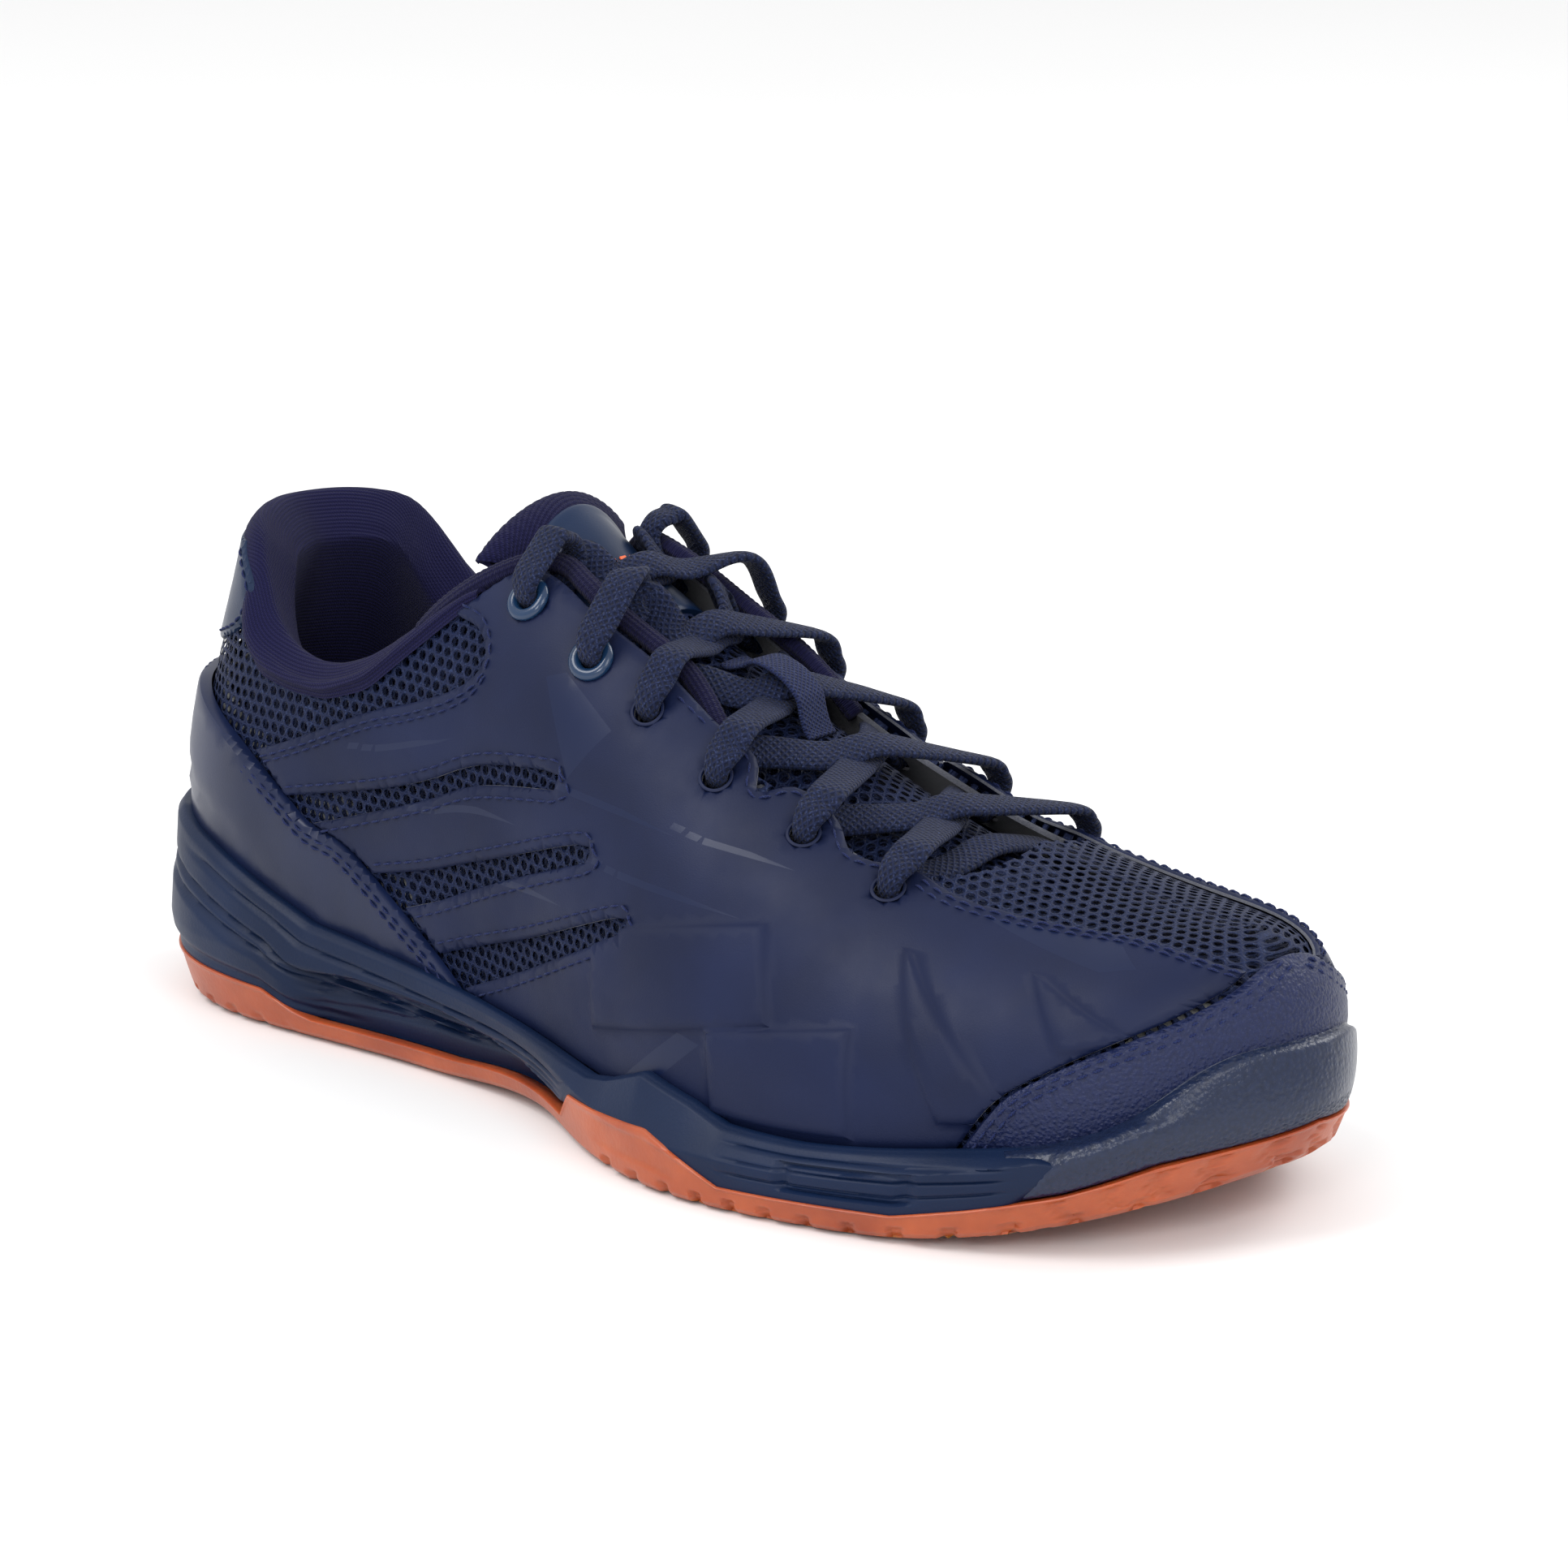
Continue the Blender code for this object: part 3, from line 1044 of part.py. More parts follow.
def build():
    for old in list(bpy.data.objects):
        bpy.data.objects.remove(old)
    outsole()
    shank_plate()
    midsole()
    cushions()
    toe_guard()
    layer_in_shoe("strobel_board", BOARD_WHITE, 5.2, BOARD)
    layer_in_shoe("insole", GUM, 6.4, INSOLE, edge_lift=1.5)
    quarter_meshes()
    vamp_mesh()
    overlays()
    toe_cap()
    heel_counter()
    heel_patch()
    stiffeners()
    eyestay_backings()
    vamp_lining()
    collar()
    throat_pipings()
    tongue_top_pieces()
    tongue_low_pieces()
    eyelet_rings()
    lace_and_aglets()
    hinge = tongue(TONGUE_SEAM, 0, TONGUE_HINGE_DEPTH)
    tilting_parent(["tongue_patch", "tongue_foam", "tongue_knit"], "tongue_axis", hinge)
    tilting_parent(["insole"], "insole_axis", [INSOLE_HINGE_X, 0.0, upper_ring(1.0)[2] + INSOLE[0]])


build()
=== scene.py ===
import math

import bmesh
import bpy
import numpy as np
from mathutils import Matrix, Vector, geometry, kdtree


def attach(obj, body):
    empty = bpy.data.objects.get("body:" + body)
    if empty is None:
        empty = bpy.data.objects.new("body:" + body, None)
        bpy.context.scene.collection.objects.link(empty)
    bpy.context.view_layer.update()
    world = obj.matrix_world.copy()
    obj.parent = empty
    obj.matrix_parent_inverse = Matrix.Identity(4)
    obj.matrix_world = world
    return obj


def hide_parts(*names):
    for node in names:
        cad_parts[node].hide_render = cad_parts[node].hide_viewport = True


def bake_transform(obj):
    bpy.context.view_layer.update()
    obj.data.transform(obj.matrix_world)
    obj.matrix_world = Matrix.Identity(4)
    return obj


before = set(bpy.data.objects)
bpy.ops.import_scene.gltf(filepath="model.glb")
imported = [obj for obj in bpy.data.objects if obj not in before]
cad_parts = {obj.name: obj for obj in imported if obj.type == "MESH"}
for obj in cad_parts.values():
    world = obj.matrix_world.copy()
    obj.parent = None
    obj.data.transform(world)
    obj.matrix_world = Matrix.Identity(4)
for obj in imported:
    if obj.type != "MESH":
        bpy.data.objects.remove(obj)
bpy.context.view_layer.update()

MM = 0.001
ORIGIN = np.array([141.47, -4.30, 0.0])  # the CAD's origin in the drawing's millimetres

# ---- the shoe's own drawing, in mm: the same stations as the CAD ----

GROUND_ROWS = [
    (-0.96, 271, -17), (-0.92, 261, -31), (-0.87, 245, -44), (-0.8, 222, -53), (-0.7, 194, -59),
    (-0.62, 171, -58), (-0.56, 152, -51), (-0.5, 136, -43), (-0.4, 109, -37), (-0.3, 80, -36),
    (-0.2, 50, -37), (-0.1, 23, -30), (-0.045, 11, -16), (0, 6, 0), (0.045, 11, 16), (0.1, 23, 30),
    (0.2, 50, 36), (0.3, 80, 34), (0.4, 109, 32), (0.5, 136, 35), (0.6, 165, 42), (0.7, 193, 48),
    (0.8, 222, 49), (0.88, 246, 41), (0.95, 268, 26), (1.0, 278, 4),
]
WIDE_ROWS = [
    (-0.96, 276, -18, 28), (-0.92, 265, -34, 22), (-0.87, 248, -46, 17), (-0.8, 223, -55, 12),
    (-0.7, 194, -60, 10), (-0.62, 171, -59, 10), (-0.56, 152, -53, 12), (-0.5, 136, -46, 14),
    (-0.4, 109, -39.5, 16), (-0.3, 80, -39, 16), (-0.2, 48, -40, 16), (-0.1, 19, -32, 16),
    (-0.045, 6, -18, 17), (0, 0, 0, 18), (0.045, 6, 18, 17), (0.1, 19, 32, 16), (0.2, 48, 39, 16),
    (0.3, 80, 37, 16), (0.4, 109, 35, 16), (0.5, 136, 38, 14), (0.6, 165, 44, 12),
    (0.7, 193, 50, 11), (0.8, 222, 51, 13), (0.88, 248, 43, 17), (0.95, 272, 28, 25), (1.0, 284, 4, 30),
]
UPPER_ROWS = [
    (-0.95, 265, -22, 21, 258, 7, 54, 0.70, 0.66, 0.0, 3),
    (-0.88, 245, -37, 18, 243, 6, 55.5, 0.62, 0.60, 0.0, 3),
    (-0.8, 221, -47, 15, 221, 5, 60, 0.58, 0.58, 0.0, 2),
    (-0.7, 193, -51, 13, 193, 4, 69, 0.60, 0.58, 0.0, 1),
    (-0.6, 165, -49, 13, 165, 2, 82, 0.64, 0.62, 0.0, 0),
    (-0.5, 137, -41, 15, 138, 0, 97, 0.70, 0.68, 0.02, 1),
    (-0.42, 115, -36, 17, 116, -1, 107, 0.74, 0.72, 0.05, 2),
    (-0.36, 99, -34, 18.5, 100, -8, 112, 0.6, 0.75, 0.15, 3),
    (-0.3, 81, -33, 20, 82, -20, 112, 0.5, 0.6, 0.3, 3), (-0.2, 52, -32, 22, 57, -27, 106, 0.4, 0.3, 0.35, 3),
    (-0.11, 26, -27, 23, 36, -24, 102, 0.4, 0.3, 0.35, 3),
    (-0.045, 12.5, -15, 24, 25, -12, 101, 0.4, 0.3, 0.35, 3),
    (0, 8, 0, 24, 21, 0, 101, 0.4, 0.3, 0.35, 3),
    (0.045, 12.5, 15, 24, 25, 12, 101, 0.4, 0.3, 0.35, 3), (0.11, 26, 27, 23, 36, 24, 102, 0.4, 0.3, 0.35, 3),
    (0.2, 52, 32, 22, 57, 27, 106, 0.4, 0.3, 0.35, 3), (0.3, 81, 31, 20, 82, 20, 112, 0.5, 0.6, 0.3, 3),
    (0.36, 99, 30, 18.5, 100, 8, 112, 0.6, 0.75, 0.15, 3),
    (0.42, 115, 30, 17, 116, -1, 107, 0.70, 0.72, 0.05, 2),
    (0.5, 137, 33, 15, 138, 0, 97, 0.60, 0.66, 0.02, 1), (0.6, 165, 39, 13, 165, 2, 82, 0.50, 0.58, 0.0, 0),
    (0.7, 193, 44, 13, 193, 4, 69, 0.46, 0.54, 0.0, 1), (0.8, 221, 45, 15, 221, 5, 60, 0.50, 0.56, 0.0, 2),
    (0.88, 245, 40, 18, 243, 6, 55.5, 0.58, 0.60, 0.0, 3),
    (0.95, 267, 27, 21, 258, 7, 54, 0.66, 0.66, 0.0, 3),
    (1.0, 276, 5, 23, 262, 7, 53.5, 0.70, 0.66, 0.0, 3),
]
CUP_TOP = [(0, 0.18), (0.08, 0.18), (0.137, 0.138), (0.195, 0.069), (0.24, 0.025), (0.38, 0.012),
           (0.56, 0.01),
           (0.585, 0.03), (0.62, 0.075), (0.665, 0.05), (0.695, 0.02), (0.755, 0.012), (1, 0.012)]
COLLAR_TOP = [(0, 0.96), (0.05, 0.96), (0.09, 0.94), (0.12, 0.88), (0.145, 0.78), (0.17, 0.68), (0.2, 0.62),
              (0.24, 0.595), (0.28, 0.625), (0.31, 0.69), (0.34, 0.75), (0.36, 0.79)]
KNIT_EDGE = [(0, 0.70), (0.13, 0.71), (0.145, 0.68), (0.165, 0.605), (0.203, 0.569), (0.242, 0.556),
             (0.282, 0.581), (0.315, 0.655), (0.343, 0.713), (0.36, 0.745)]
THROAT = [(0.36, 0.775), (0.395, 0.805), (0.42, 0.812), (0.47, 0.782), (0.53, 0.775), (0.575, 0.745),
          (0.62, 0.72),
          (0.66, 0.715), (0.70, 0.69), (0.74, 0.68), (0.77, 0.69)]
MESH_TOP = [(0, 0.91), (0.09, 0.88), (0.12, 0.82), (0.145, 0.73), (0.17, 0.64), (0.2, 0.585), (0.24, 0.562),
            (0.28, 0.59), (0.31, 0.655), (0.34, 0.715), (0.36, 0.75), (0.395, 0.785), (0.42, 0.79)]
COUNTER_TOP = [(0, 0.53), (0.08, 0.52), (0.147, 0.438), (0.208, 0.312), (0.235, 0.256), (0.267, 0.231),
               (0.297, 0.175), (0.323, 0.119), (0.382, 0.0)]
GUARD_TOP = [(0.874, 0.015), (0.90, 0.02), (0.915, 0.035), (0.93, 0.055), (0.943, 0.10), (0.958, 0.215),
             (0.968, 0.306), (0.985, 0.35), (1, 0.36)]
OUTSOLE_TOP = [(0, 10), (0.1, 9.5), (0.17, 9), (0.21, 8.6), (0.235, 5.4), (0.25, 4.4), (0.53, 4.6),
               (0.55, 10.6),
               (0.635, 11.6), (0.655, 10), (0.70, 4.8), (0.82, 5.5), (0.86, 8.5), (0.9, 12), (0.94, 17),
               (1, 21)]
EYELETS = [(0.415, 0.75), (0.483, 0.713), (0.5375, 0.688), (0.605, 0.65), (0.6775, 0.638), (0.75, 0.606)]
RINGED = 2
TONGUE_ROWS = [(97, 111.5, -1, 22.5, 9), (101, 110.3, -1, 18, 11), (106, 107, -1.5, 16.5, 17.5),
               (112, 103.4, -2, 18.5, 21.5),
               (117, 100, -2.5, 20, 23), (133, 91.5, -2.5, 21, 20), (160, 76.8, -1, 21, 14),
               (188, 64, 0, 20, 9),
               (206, 57.5, 0.5, 18, 6), (222, 52.5, 1, 16, 4)]
TONGUE_SEAM = 132.0
PATCH_START = 103.4
KNIT_SHEET = 0.9  # thickness of the knit
BED = 3.4  # height of the outsole's floor over its ground face
RIM_LEAST = 4.2
PATCH_EDGE = [(0.085, 0.640), (0.128, 0.70), (0.138, 0.80), (0.100, 0.915)]
SEAM = [(0.850, 0.0), (0.872, 0.135), (0.90, 0.22), (0.928, 0.303), (0.95, 0.393), (0.968, 0.51),
        (0.980, 0.62), (0.99, 0.69),
        (1.0, 0.71)]


def table(rows, at):
    return np.interp(np.abs(at), [r[0] for r in rows], [r[1] for r in rows])


def soft_table(rows, at, reach=0.02):
    """The table with its corners rounded over a given reach."""
    at = np.asarray(at, float)
    shifts = np.linspace(-reach, reach, 17)
    weights = 1 - (shifts / reach) ** 2 + 1e-3
    return sum(w * table(rows, at + d) for d, w in zip(shifts, weights)) / weights.sum()


def unit(v):
    return v / (np.linalg.norm(v, axis=-1, keepdims=True) + 1e-12)


def lengths(line):
    """Distance run along a line, at each of its points."""
    return np.concatenate([[0], np.cumsum(np.linalg.norm(np.diff(line, axis=0), axis=1))])


def spans(points):
    """Each piece of a line, with the points before and after it."""
    ends = np.concatenate([[2 * points[0] - points[1]], points, [2 * points[-1] - points[-2]]])
    return [ends[i - 1 : i + 3] for i in range(1, len(ends) - 2)]


def between(span, t):
    """Point of a smooth curve between the two middle points of a span."""
    p0, p1, p2, p3 = span
    bend = (2 * p0 - 5 * p1 + 4 * p2 - p3) * t**2 + (3 * p1 - p0 - 3 * p2 + p3) * t**3
    return 0.5 * (2 * p1 + (p2 - p0) * t + bend)


def spline_through(knots, values, period):
    knots, values = np.asarray(knots, float), np.asarray(values, float)
    count = len(knots)
    gap = np.diff(np.append(knots, knots[0] + period))
    system, right = np.zeros((count, count)), np.zeros(count)
    for i in range(count):
        before, after = (i - 1) % count, (i + 1) % count
        system[i, before] += gap[before]
        system[i, i] += 2 * (gap[before] + gap[i])
        system[i, after] += gap[i]
        right[i] = 6 * ((values[after] - values[i]) / gap[i] - (values[i] - values[before]) / gap[before])
    bend = np.linalg.solve(system, right)

    def value(at):
        at = (np.asarray(at, float) - knots[0]) % period + knots[0]
        i = np.clip(np.searchsorted(knots, at, side="right") - 1, 0, count - 1)
        after = (i + 1) % count
        t1 = at - knots[i]
        t0 = gap[i] - t1
        return (
            (bend[i] * t0**3 + bend[after] * t1**3) / (6 * gap[i])
            + (values[i] / gap[i] - bend[i] * gap[i] / 6) * t0
            + (values[after] / gap[i] - bend[after] * gap[i] / 6) * t1
        )

    return value


def ring(rows):
    rows = sorted(rows)
    columns = [spline_through([r[0] for r in rows], [r[i] for r in rows], 2) for i in range(1, len(rows[0]))]
    return lambda a: np.stack([column(a) for column in columns], -1)


ground_ring, wide_ring, upper_ring = ring(GROUND_ROWS), ring(WIDE_ROWS), ring(UPPER_ROWS)


def outward(a):
    step = upper_ring(a + 0.001) - upper_ring(a - 0.001)
    return unit(np.stack([-step[..., 1], step[..., 0], 0 * step[..., 0]], -1))


def section(a, t):
    row = upper_ring(a)
    foot, top = row[..., :3], row[..., 3:6]
    shared = np.clip((np.abs((a + 1) % 2 - 1)[..., None] - 0.36) / 0.06, 0, 1) / 2
    top = top * (1 - shared) + upper_ring(-a)[..., 3:6] * shared
    wall, roof, drop, bulge = (row[..., i : i + 1] for i in range(6, 10))
    height = top[..., 2:] - foot[..., 2:]
    up, away = np.array([0, 0, 1.0]), outward(a)
    low = foot + up * wall * height + away * bulge * 1.5
    high = top + (foot - top) * [1, 1, 0] * roof - up * drop * height + away * bulge * 0.5
    t = t[..., None]
    return (1 - t) ** 3 * foot + 3 * (1 - t) ** 2 * t * low + 3 * (1 - t) * t**2 * high + t**3 * top


# the surface and its normals, looked up on a fine grid of a and h
GRID_A, GRID_H = np.linspace(-1, 1, 1601), np.linspace(0, 1, 201)
steps = np.linspace(0, 1, 121)
fine = section(np.repeat(GRID_A[:, None], 121, 1), np.tile(steps, (len(GRID_A), 1)))
runs = np.concatenate([np.zeros((len(GRID_A), 1)),
                       np.cumsum(np.linalg.norm(np.diff(fine, axis=1), axis=-1), 1)], 1)
GIRTH = runs[:, -1]
where_t = np.array([np.interp(GRID_H, run / run[-1], steps) for run in runs])
GRID_P = section(np.repeat(GRID_A[:, None], len(GRID_H), 1), where_t)


def grid_normals(points):
    along = np.zeros_like(points)
    along[1:-1] = points[2:] - points[:-2]
    along[0] = along[-1] = points[1] - points[-2]
    return unit(np.cross(np.gradient(points, axis=1), along))


both = np.concatenate([GRID_P, GRID_P[::-1, -2::-1]], 1)
GRID_N = np.where((np.abs(GRID_A) > 0.42)[:, None, None], grid_normals(both)[:, : len(GRID_H)],
                  grid_normals(GRID_P))


def look_up(grid, a, h):
    a, h = np.broadcast_arrays(np.asarray(a, float), np.asarray(h, float))
    a, h = np.where(h > 1, -a, a), np.clip(np.where(h > 1, 2 - h, h), 0, 1)
    x = ((a + 1) % 2) / 2 * (len(GRID_A) - 1)
    y = h * (len(GRID_H) - 1)
    i, j = np.clip(x.astype(int), 0, len(GRID_A) - 2), np.clip(y.astype(int), 0, len(GRID_H) - 2)
    u, v = (x - i)[..., None], (y - j)[..., None]
    return (grid[i, j] * (1 - u) + grid[i + 1, j] * u) * (1 - v) + (grid[i, j + 1] * (1 - u)
            + grid[i + 1, j + 1] * u) * v


def surface(a, h):
    return look_up(GRID_P, a, h)


def normal(a, h):
    return unit(look_up(GRID_N, a, h))


def skin(a, h, depth=0.0):
    depth = np.broadcast_to(np.asarray(depth, float), np.broadcast_shapes(np.shape(a), np.shape(h)))
    return surface(a, h) + normal(a, h) * depth[..., None]


def girth(a):
    return np.interp((np.asarray(a) + 1) % 2 - 1, GRID_A, GIRTH)


def bottom(x):
    toe = 13 * (np.clip(x - 215, 0, None) / 63) ** 2
    heel = 5 * (np.clip(25 - x, 0, None) / 19) ** 2
    arch = 1.6 * np.sin(np.pi * np.clip((x - 95) / 60, 0, 1)) ** 2
    return toe + heel + arch


def noise(x, y, z=0.0, seed=0.0):
    """Soft, repeatable unevenness between about -1 and 1."""
    x, y, z = np.asarray(x) + seed, np.asarray(y) - seed * 0.7, np.asarray(z) + seed * 0.3
    first = np.sin(x + 1.3 * np.sin(y * 0.7 + z))
    second = np.sin(y * 1.3 + 1.1 * np.sin(z * 0.9 + x * 0.6))
    return (first + second + np.sin(z * 1.1 + x * 0.8 - y * 0.5)) / 3


# ---- mesh helpers ----


def make(name, points, faces, material, uvs=None, sharp=40, body="shoe", slot=None, replaces=()):
    mesh = bpy.data.meshes.new(name)
    mesh.from_pydata(((np.asarray(points) - ORIGIN) * MM).tolist(), [],
                     [tuple(int(i) for i in f) for f in faces])
    mesh.validate()
    mesh.shade_smooth()
    if sharp:
        mesh.set_sharp_from_angle(angle=math.radians(sharp))
    if uvs is not None:
        layer = mesh.uv_layers.new(name="UVMap")
        index = np.empty(len(mesh.loops), np.int32)
        mesh.loops.foreach_get("vertex_index", index)
        layer.data.foreach_set("uv", np.asarray(uvs, np.float32)[index].ravel())
    mesh.materials.append(material)
    made = bpy.data.objects.new(name, mesh)
    bpy.context.scene.collection.objects.link(made)
    if body == "tongue":  # cloth that crosses the tongue's seam: its place is baked in and it is tied to no body
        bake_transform(made)
    else:
        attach(made, body)
    if replaces:
        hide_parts(*replaces)
    return made


def grid_faces(rows, columns, closed=False, round_=False):
    faces = []
    for i in range(rows if closed else rows - 1):
        j = (i + 1) % rows
        for k in range(columns if round_ else columns - 1):
            m = (k + 1) % columns
            faces.append((i * columns + k, j * columns + k, j * columns + m, i * columns + m))
    return faces


def grid_shell(name, outer, inner, material, uv=None, closed=False, **more):
    """Solid between two grids of points."""
    outer, inner = np.asarray(outer, float), np.asarray(inner, float)
    rows, columns = outer.shape[:2]
    count = rows * columns
    faces = grid_faces(rows, columns, closed)
    back = [tuple(i + count for i in face[::-1]) for face in faces]
    rim = []
    for i in range(rows if closed else rows - 1):
        j = (i + 1) % rows
        for k, flip in ((0, True), (columns - 1, False)):
            quad = (i * columns + k, j * columns + k, j * columns + k + count, i * columns + k + count)
            rim.append(quad if flip else quad[::-1])
    if not closed:
        for i, flip in ((0, False), (rows - 1, True)):
            for k in range(columns - 1):
                quad = (i * columns + k, i * columns + k + 1, i * columns + k + 1 + count,
                        i * columns + k + count)
                rim.append(quad if flip else quad[::-1])
    points = np.concatenate([outer.reshape(-1, 3), inner.reshape(-1, 3)])
    all_faces = faces + back + rim
    uvs = None if uv is None else np.concatenate([np.asarray(uv, float).reshape(-1, 2)] * 2)
    tris = np.array([(f[0], f[1], f[2]) for f in all_faces] + [(f[0], f[2], f[-1]) for f in all_faces])
    if np.linalg.det(points[tris] - points.mean(0)).sum() < 0:
        all_faces = [f[::-1] for f in all_faces]
    return make(name, points, all_faces, material, uvs, **more)


CHART = np.array([300.0, 92.0])


def smooth(points, step=0.008):
    points = np.asarray(points, float)
    line = [points[0]]
    for span in spans(points):
        count = max(1, math.ceil(np.linalg.norm((span[2] - span[1]) * CHART) / (step * CHART[0])))
        line += [between(span, k / count) for k in range(1, count + 1)]
    return line


def outline(*runs_):
    line = []
    for run in runs_:
        line += smooth(run)
    kept = [p for i, p in enumerate(line) if np.linalg.norm((p - line[i - 1]) * CHART) > 0.05]
    return np.array(kept)


def circle_at(a, h, radius, sides=20):
    along = (surface(a + 0.005, h) - surface(a - 0.005, h)) / 0.01
    up = (surface(a, h + 0.005) - surface(a, h - 0.005)) / 0.01
    to_surface = np.stack([along, up], -1)
    right = unit(along)
    level = unit(up - right * (up @ right))
    points = []
    for turn in 2 * np.pi * np.arange(sides) / sides:
        reach = radius * (right * math.cos(turn) + level * math.sin(turn))
        points.append(np.array([a, h]) + np.linalg.pinv(to_surface) @ reach)
    return np.array(points)


def inside(points, loops):
    found = np.zeros(len(points), bool)
    for loop in loops:
        for p, q in zip(loop, np.roll(loop, -1, 0)):
            crosses = (p[1] > points[:, 1]) != (q[1] > points[:, 1])
            rise = np.where(crosses, q[1] - p[1], 1)
            found ^= crosses & (points[:, 0] < (q[0] - p[0]) * (points[:, 1] - p[1]) / rise + p[0])
    return found


def distance_to(points, loops):
    nearest = np.full(len(points), 1e9)
    for loop in loops:
        for p, q in zip(loop, np.roll(loop, -1, 0)):
            run = q - p
            t = np.clip(((points - p) @ run) / max(run @ run, 1e-12), 0, 1)
            nearest = np.minimum(nearest, np.linalg.norm(points - p - t[:, None] * run, axis=1))
    return nearest


def inner_rings(loops, reach, step):
    """Points at a distance inside the border, for a rounded edge."""
    found = []
    for loop in loops:
        size = np.linalg.norm(np.roll(loop, -1, 0) - loop, axis=1)
        run = np.concatenate([[0], np.cumsum(size)])
        closed = np.concatenate([loop, loop[:1]])
        at = np.arange(0, run[-1], step)
        line = np.stack([np.interp(at, run, closed[:, k]) for k in (0, 1)], -1)
        tangent = unit(np.roll(line, -1, 0) - np.roll(line, 1, 0))
        side_ = np.stack([-tangent[:, 1], tangent[:, 0]], -1)
        for sign in (-1, 1):
            found.append(line + side_ * sign * reach)
    found = np.concatenate(found)
    found = found[inside(found, loops)]
    return found[np.abs(distance_to(found, loops) - reach) < 0.08]


def panel(name, loops, depths, material, step=3.4, edge=0.8, relief=None, uv=None, creases=(), marks=(),
          mark_look=None, cut=None, **more):
    """A layer of the upper with rounded edges, which may be embossed and printed."""
    loops = [np.asarray(loop) * CHART for loop in loops]
    extra = [np.asarray(loop) * CHART for loop in (*creases, *marks)]
    border = np.concatenate(loops)
    low, high = border.min(0), border.max(0)
    rows, height = [], step * math.sqrt(3) / 2
    for j in range(math.floor(low[1] / height), math.ceil(high[1] / height) + 1):
        for i in range(math.floor(low[0] / step), math.ceil(high[0] / step) + 1):
            rows.append(((i + 0.5 * (j % 2)) * step, j * height))
    fill = np.array(rows)
    fill = fill[inside(fill, loops)]
    fill = fill[distance_to(fill, loops) > edge + 0.5 * step]
    rings = [inner_rings(loops, edge * 0.35, 2.4), inner_rings(loops, edge, 2.4)] if edge else []
    if extra:
        fill = fill[distance_to(fill, extra) > 0.55]
    given = np.concatenate([border, *extra, *rings, fill])
    edges, start = [], 0
    for loop in (*loops, *extra):
        edges += [(start + i, start + (i + 1) % len(loop)) for i in range(len(loop))]
        start += len(loop)
    found, _, faces, origins, *_ = geometry.delaunay_2d_cdt([Vector(p) for p in given], edges, [], 0, 1e-5)
    flat = np.array([given[o[0]] if o else tuple(p) for p, o in zip(found, origins)])
    middle = np.array([flat[list(f)].mean(0) for f in faces])
    within = inside(middle, loops)
    marked = np.zeros(len(middle), bool)
    for loop in marks:
        marked |= inside(middle, [np.asarray(loop) * CHART])
    faces, marked = [tuple(f) for f, ok in zip(faces, within) if ok], marked[within]
    a, h = (flat / CHART).T
    away = distance_to(flat, loops)
    thick = depths[1] - depths[0]
    crown = np.sqrt(np.clip(1 - (1 - np.clip(away / max(edge, 0.01), 0, 1)) ** 2, 0, 1)) if edge else 1.0
    top = depths[0] + thick * (0.45 + 0.55 * crown)
    if relief is not None:
        top = top + relief(a, h)
    outer, inner = skin(a, h, top), skin(a, h, depths[0])
    tree = kdtree.KDTree(len(outer))
    for i, point in enumerate(outer):
        tree.insert(point, i)
    tree.balance()
    index = np.array([min(hit[1] for hit in tree.find_range(point, 0.01)) for point in outer])
    outer, inner = outer[index], inner[index]
    uses = {}
    kept, printed = [], []
    for face, mark in zip(faces, marked):
        loop = [index[i] for i in face]
        if len(set(loop)) < 3:
            continue
        kept.append(loop)
        printed.append(bool(mark))
        for i in range(3):
            uses.setdefault(frozenset((loop[i], loop[i - 1])), []).append((loop[i - 1], loop[i]))
    count = len(outer)
    walls = [(i, i + count, j + count, j) for hit in uses.values() if len(hit) == 1 for i, j in hit]
    back = [tuple(i + count for i in f[::-1]) for f in kept]
    points = np.concatenate([outer, inner])
    all_faces = [*map(tuple, kept), *back, *walls]
    first, second, third = (np.array([f[i] for f in kept]) for i in range(3))
    facing = np.cross(outer[second] - outer[first], outer[third] - outer[first])
    if np.sum(facing * normal(a, h)[first]) < 0:
        all_faces = [f[::-1] for f in all_faces]
    size = girth(a)
    side_ = np.where((a > 0) ^ (h > 1), 1, -1)
    plan = {
        "quarter": np.stack([300 * a, h * size], -1),
        "vamp": np.stack([outer[:, 0], (1 - np.where(h > 1, 2 - h, h)) * size * side_], -1),
    }[uv or "quarter"]
    made = make(name, points, all_faces, material, np.concatenate([plan, plan]), **more)
    looks = [0] * len(all_faces)
    if mark_look:
        made.data.materials.append(mark_look)
        looks[: len(kept)] = [int(mark) for mark in printed]
    if cut:
        made.data.materials.append(cut)
        looks[2 * len(kept) :] = [len(made.data.materials) - 1] * len(walls)
    if len(made.data.polygons) == len(looks):
        made.data.polygons.foreach_set("material_index", looks)
    return made


def field(corners, step=0.008):
    """Closed loop through the corners, with points along its straight sides."""
    line = []
    for p, q in zip(corners, [*corners[1:], corners[0]]):
        p, q = np.asarray(p, float), np.asarray(q, float)
        count = max(1, math.ceil(np.linalg.norm((q - p) * CHART) / (step * CHART[0])))
        line += [p + (q - p) * k / count for k in range(count)]
    return np.array(line)


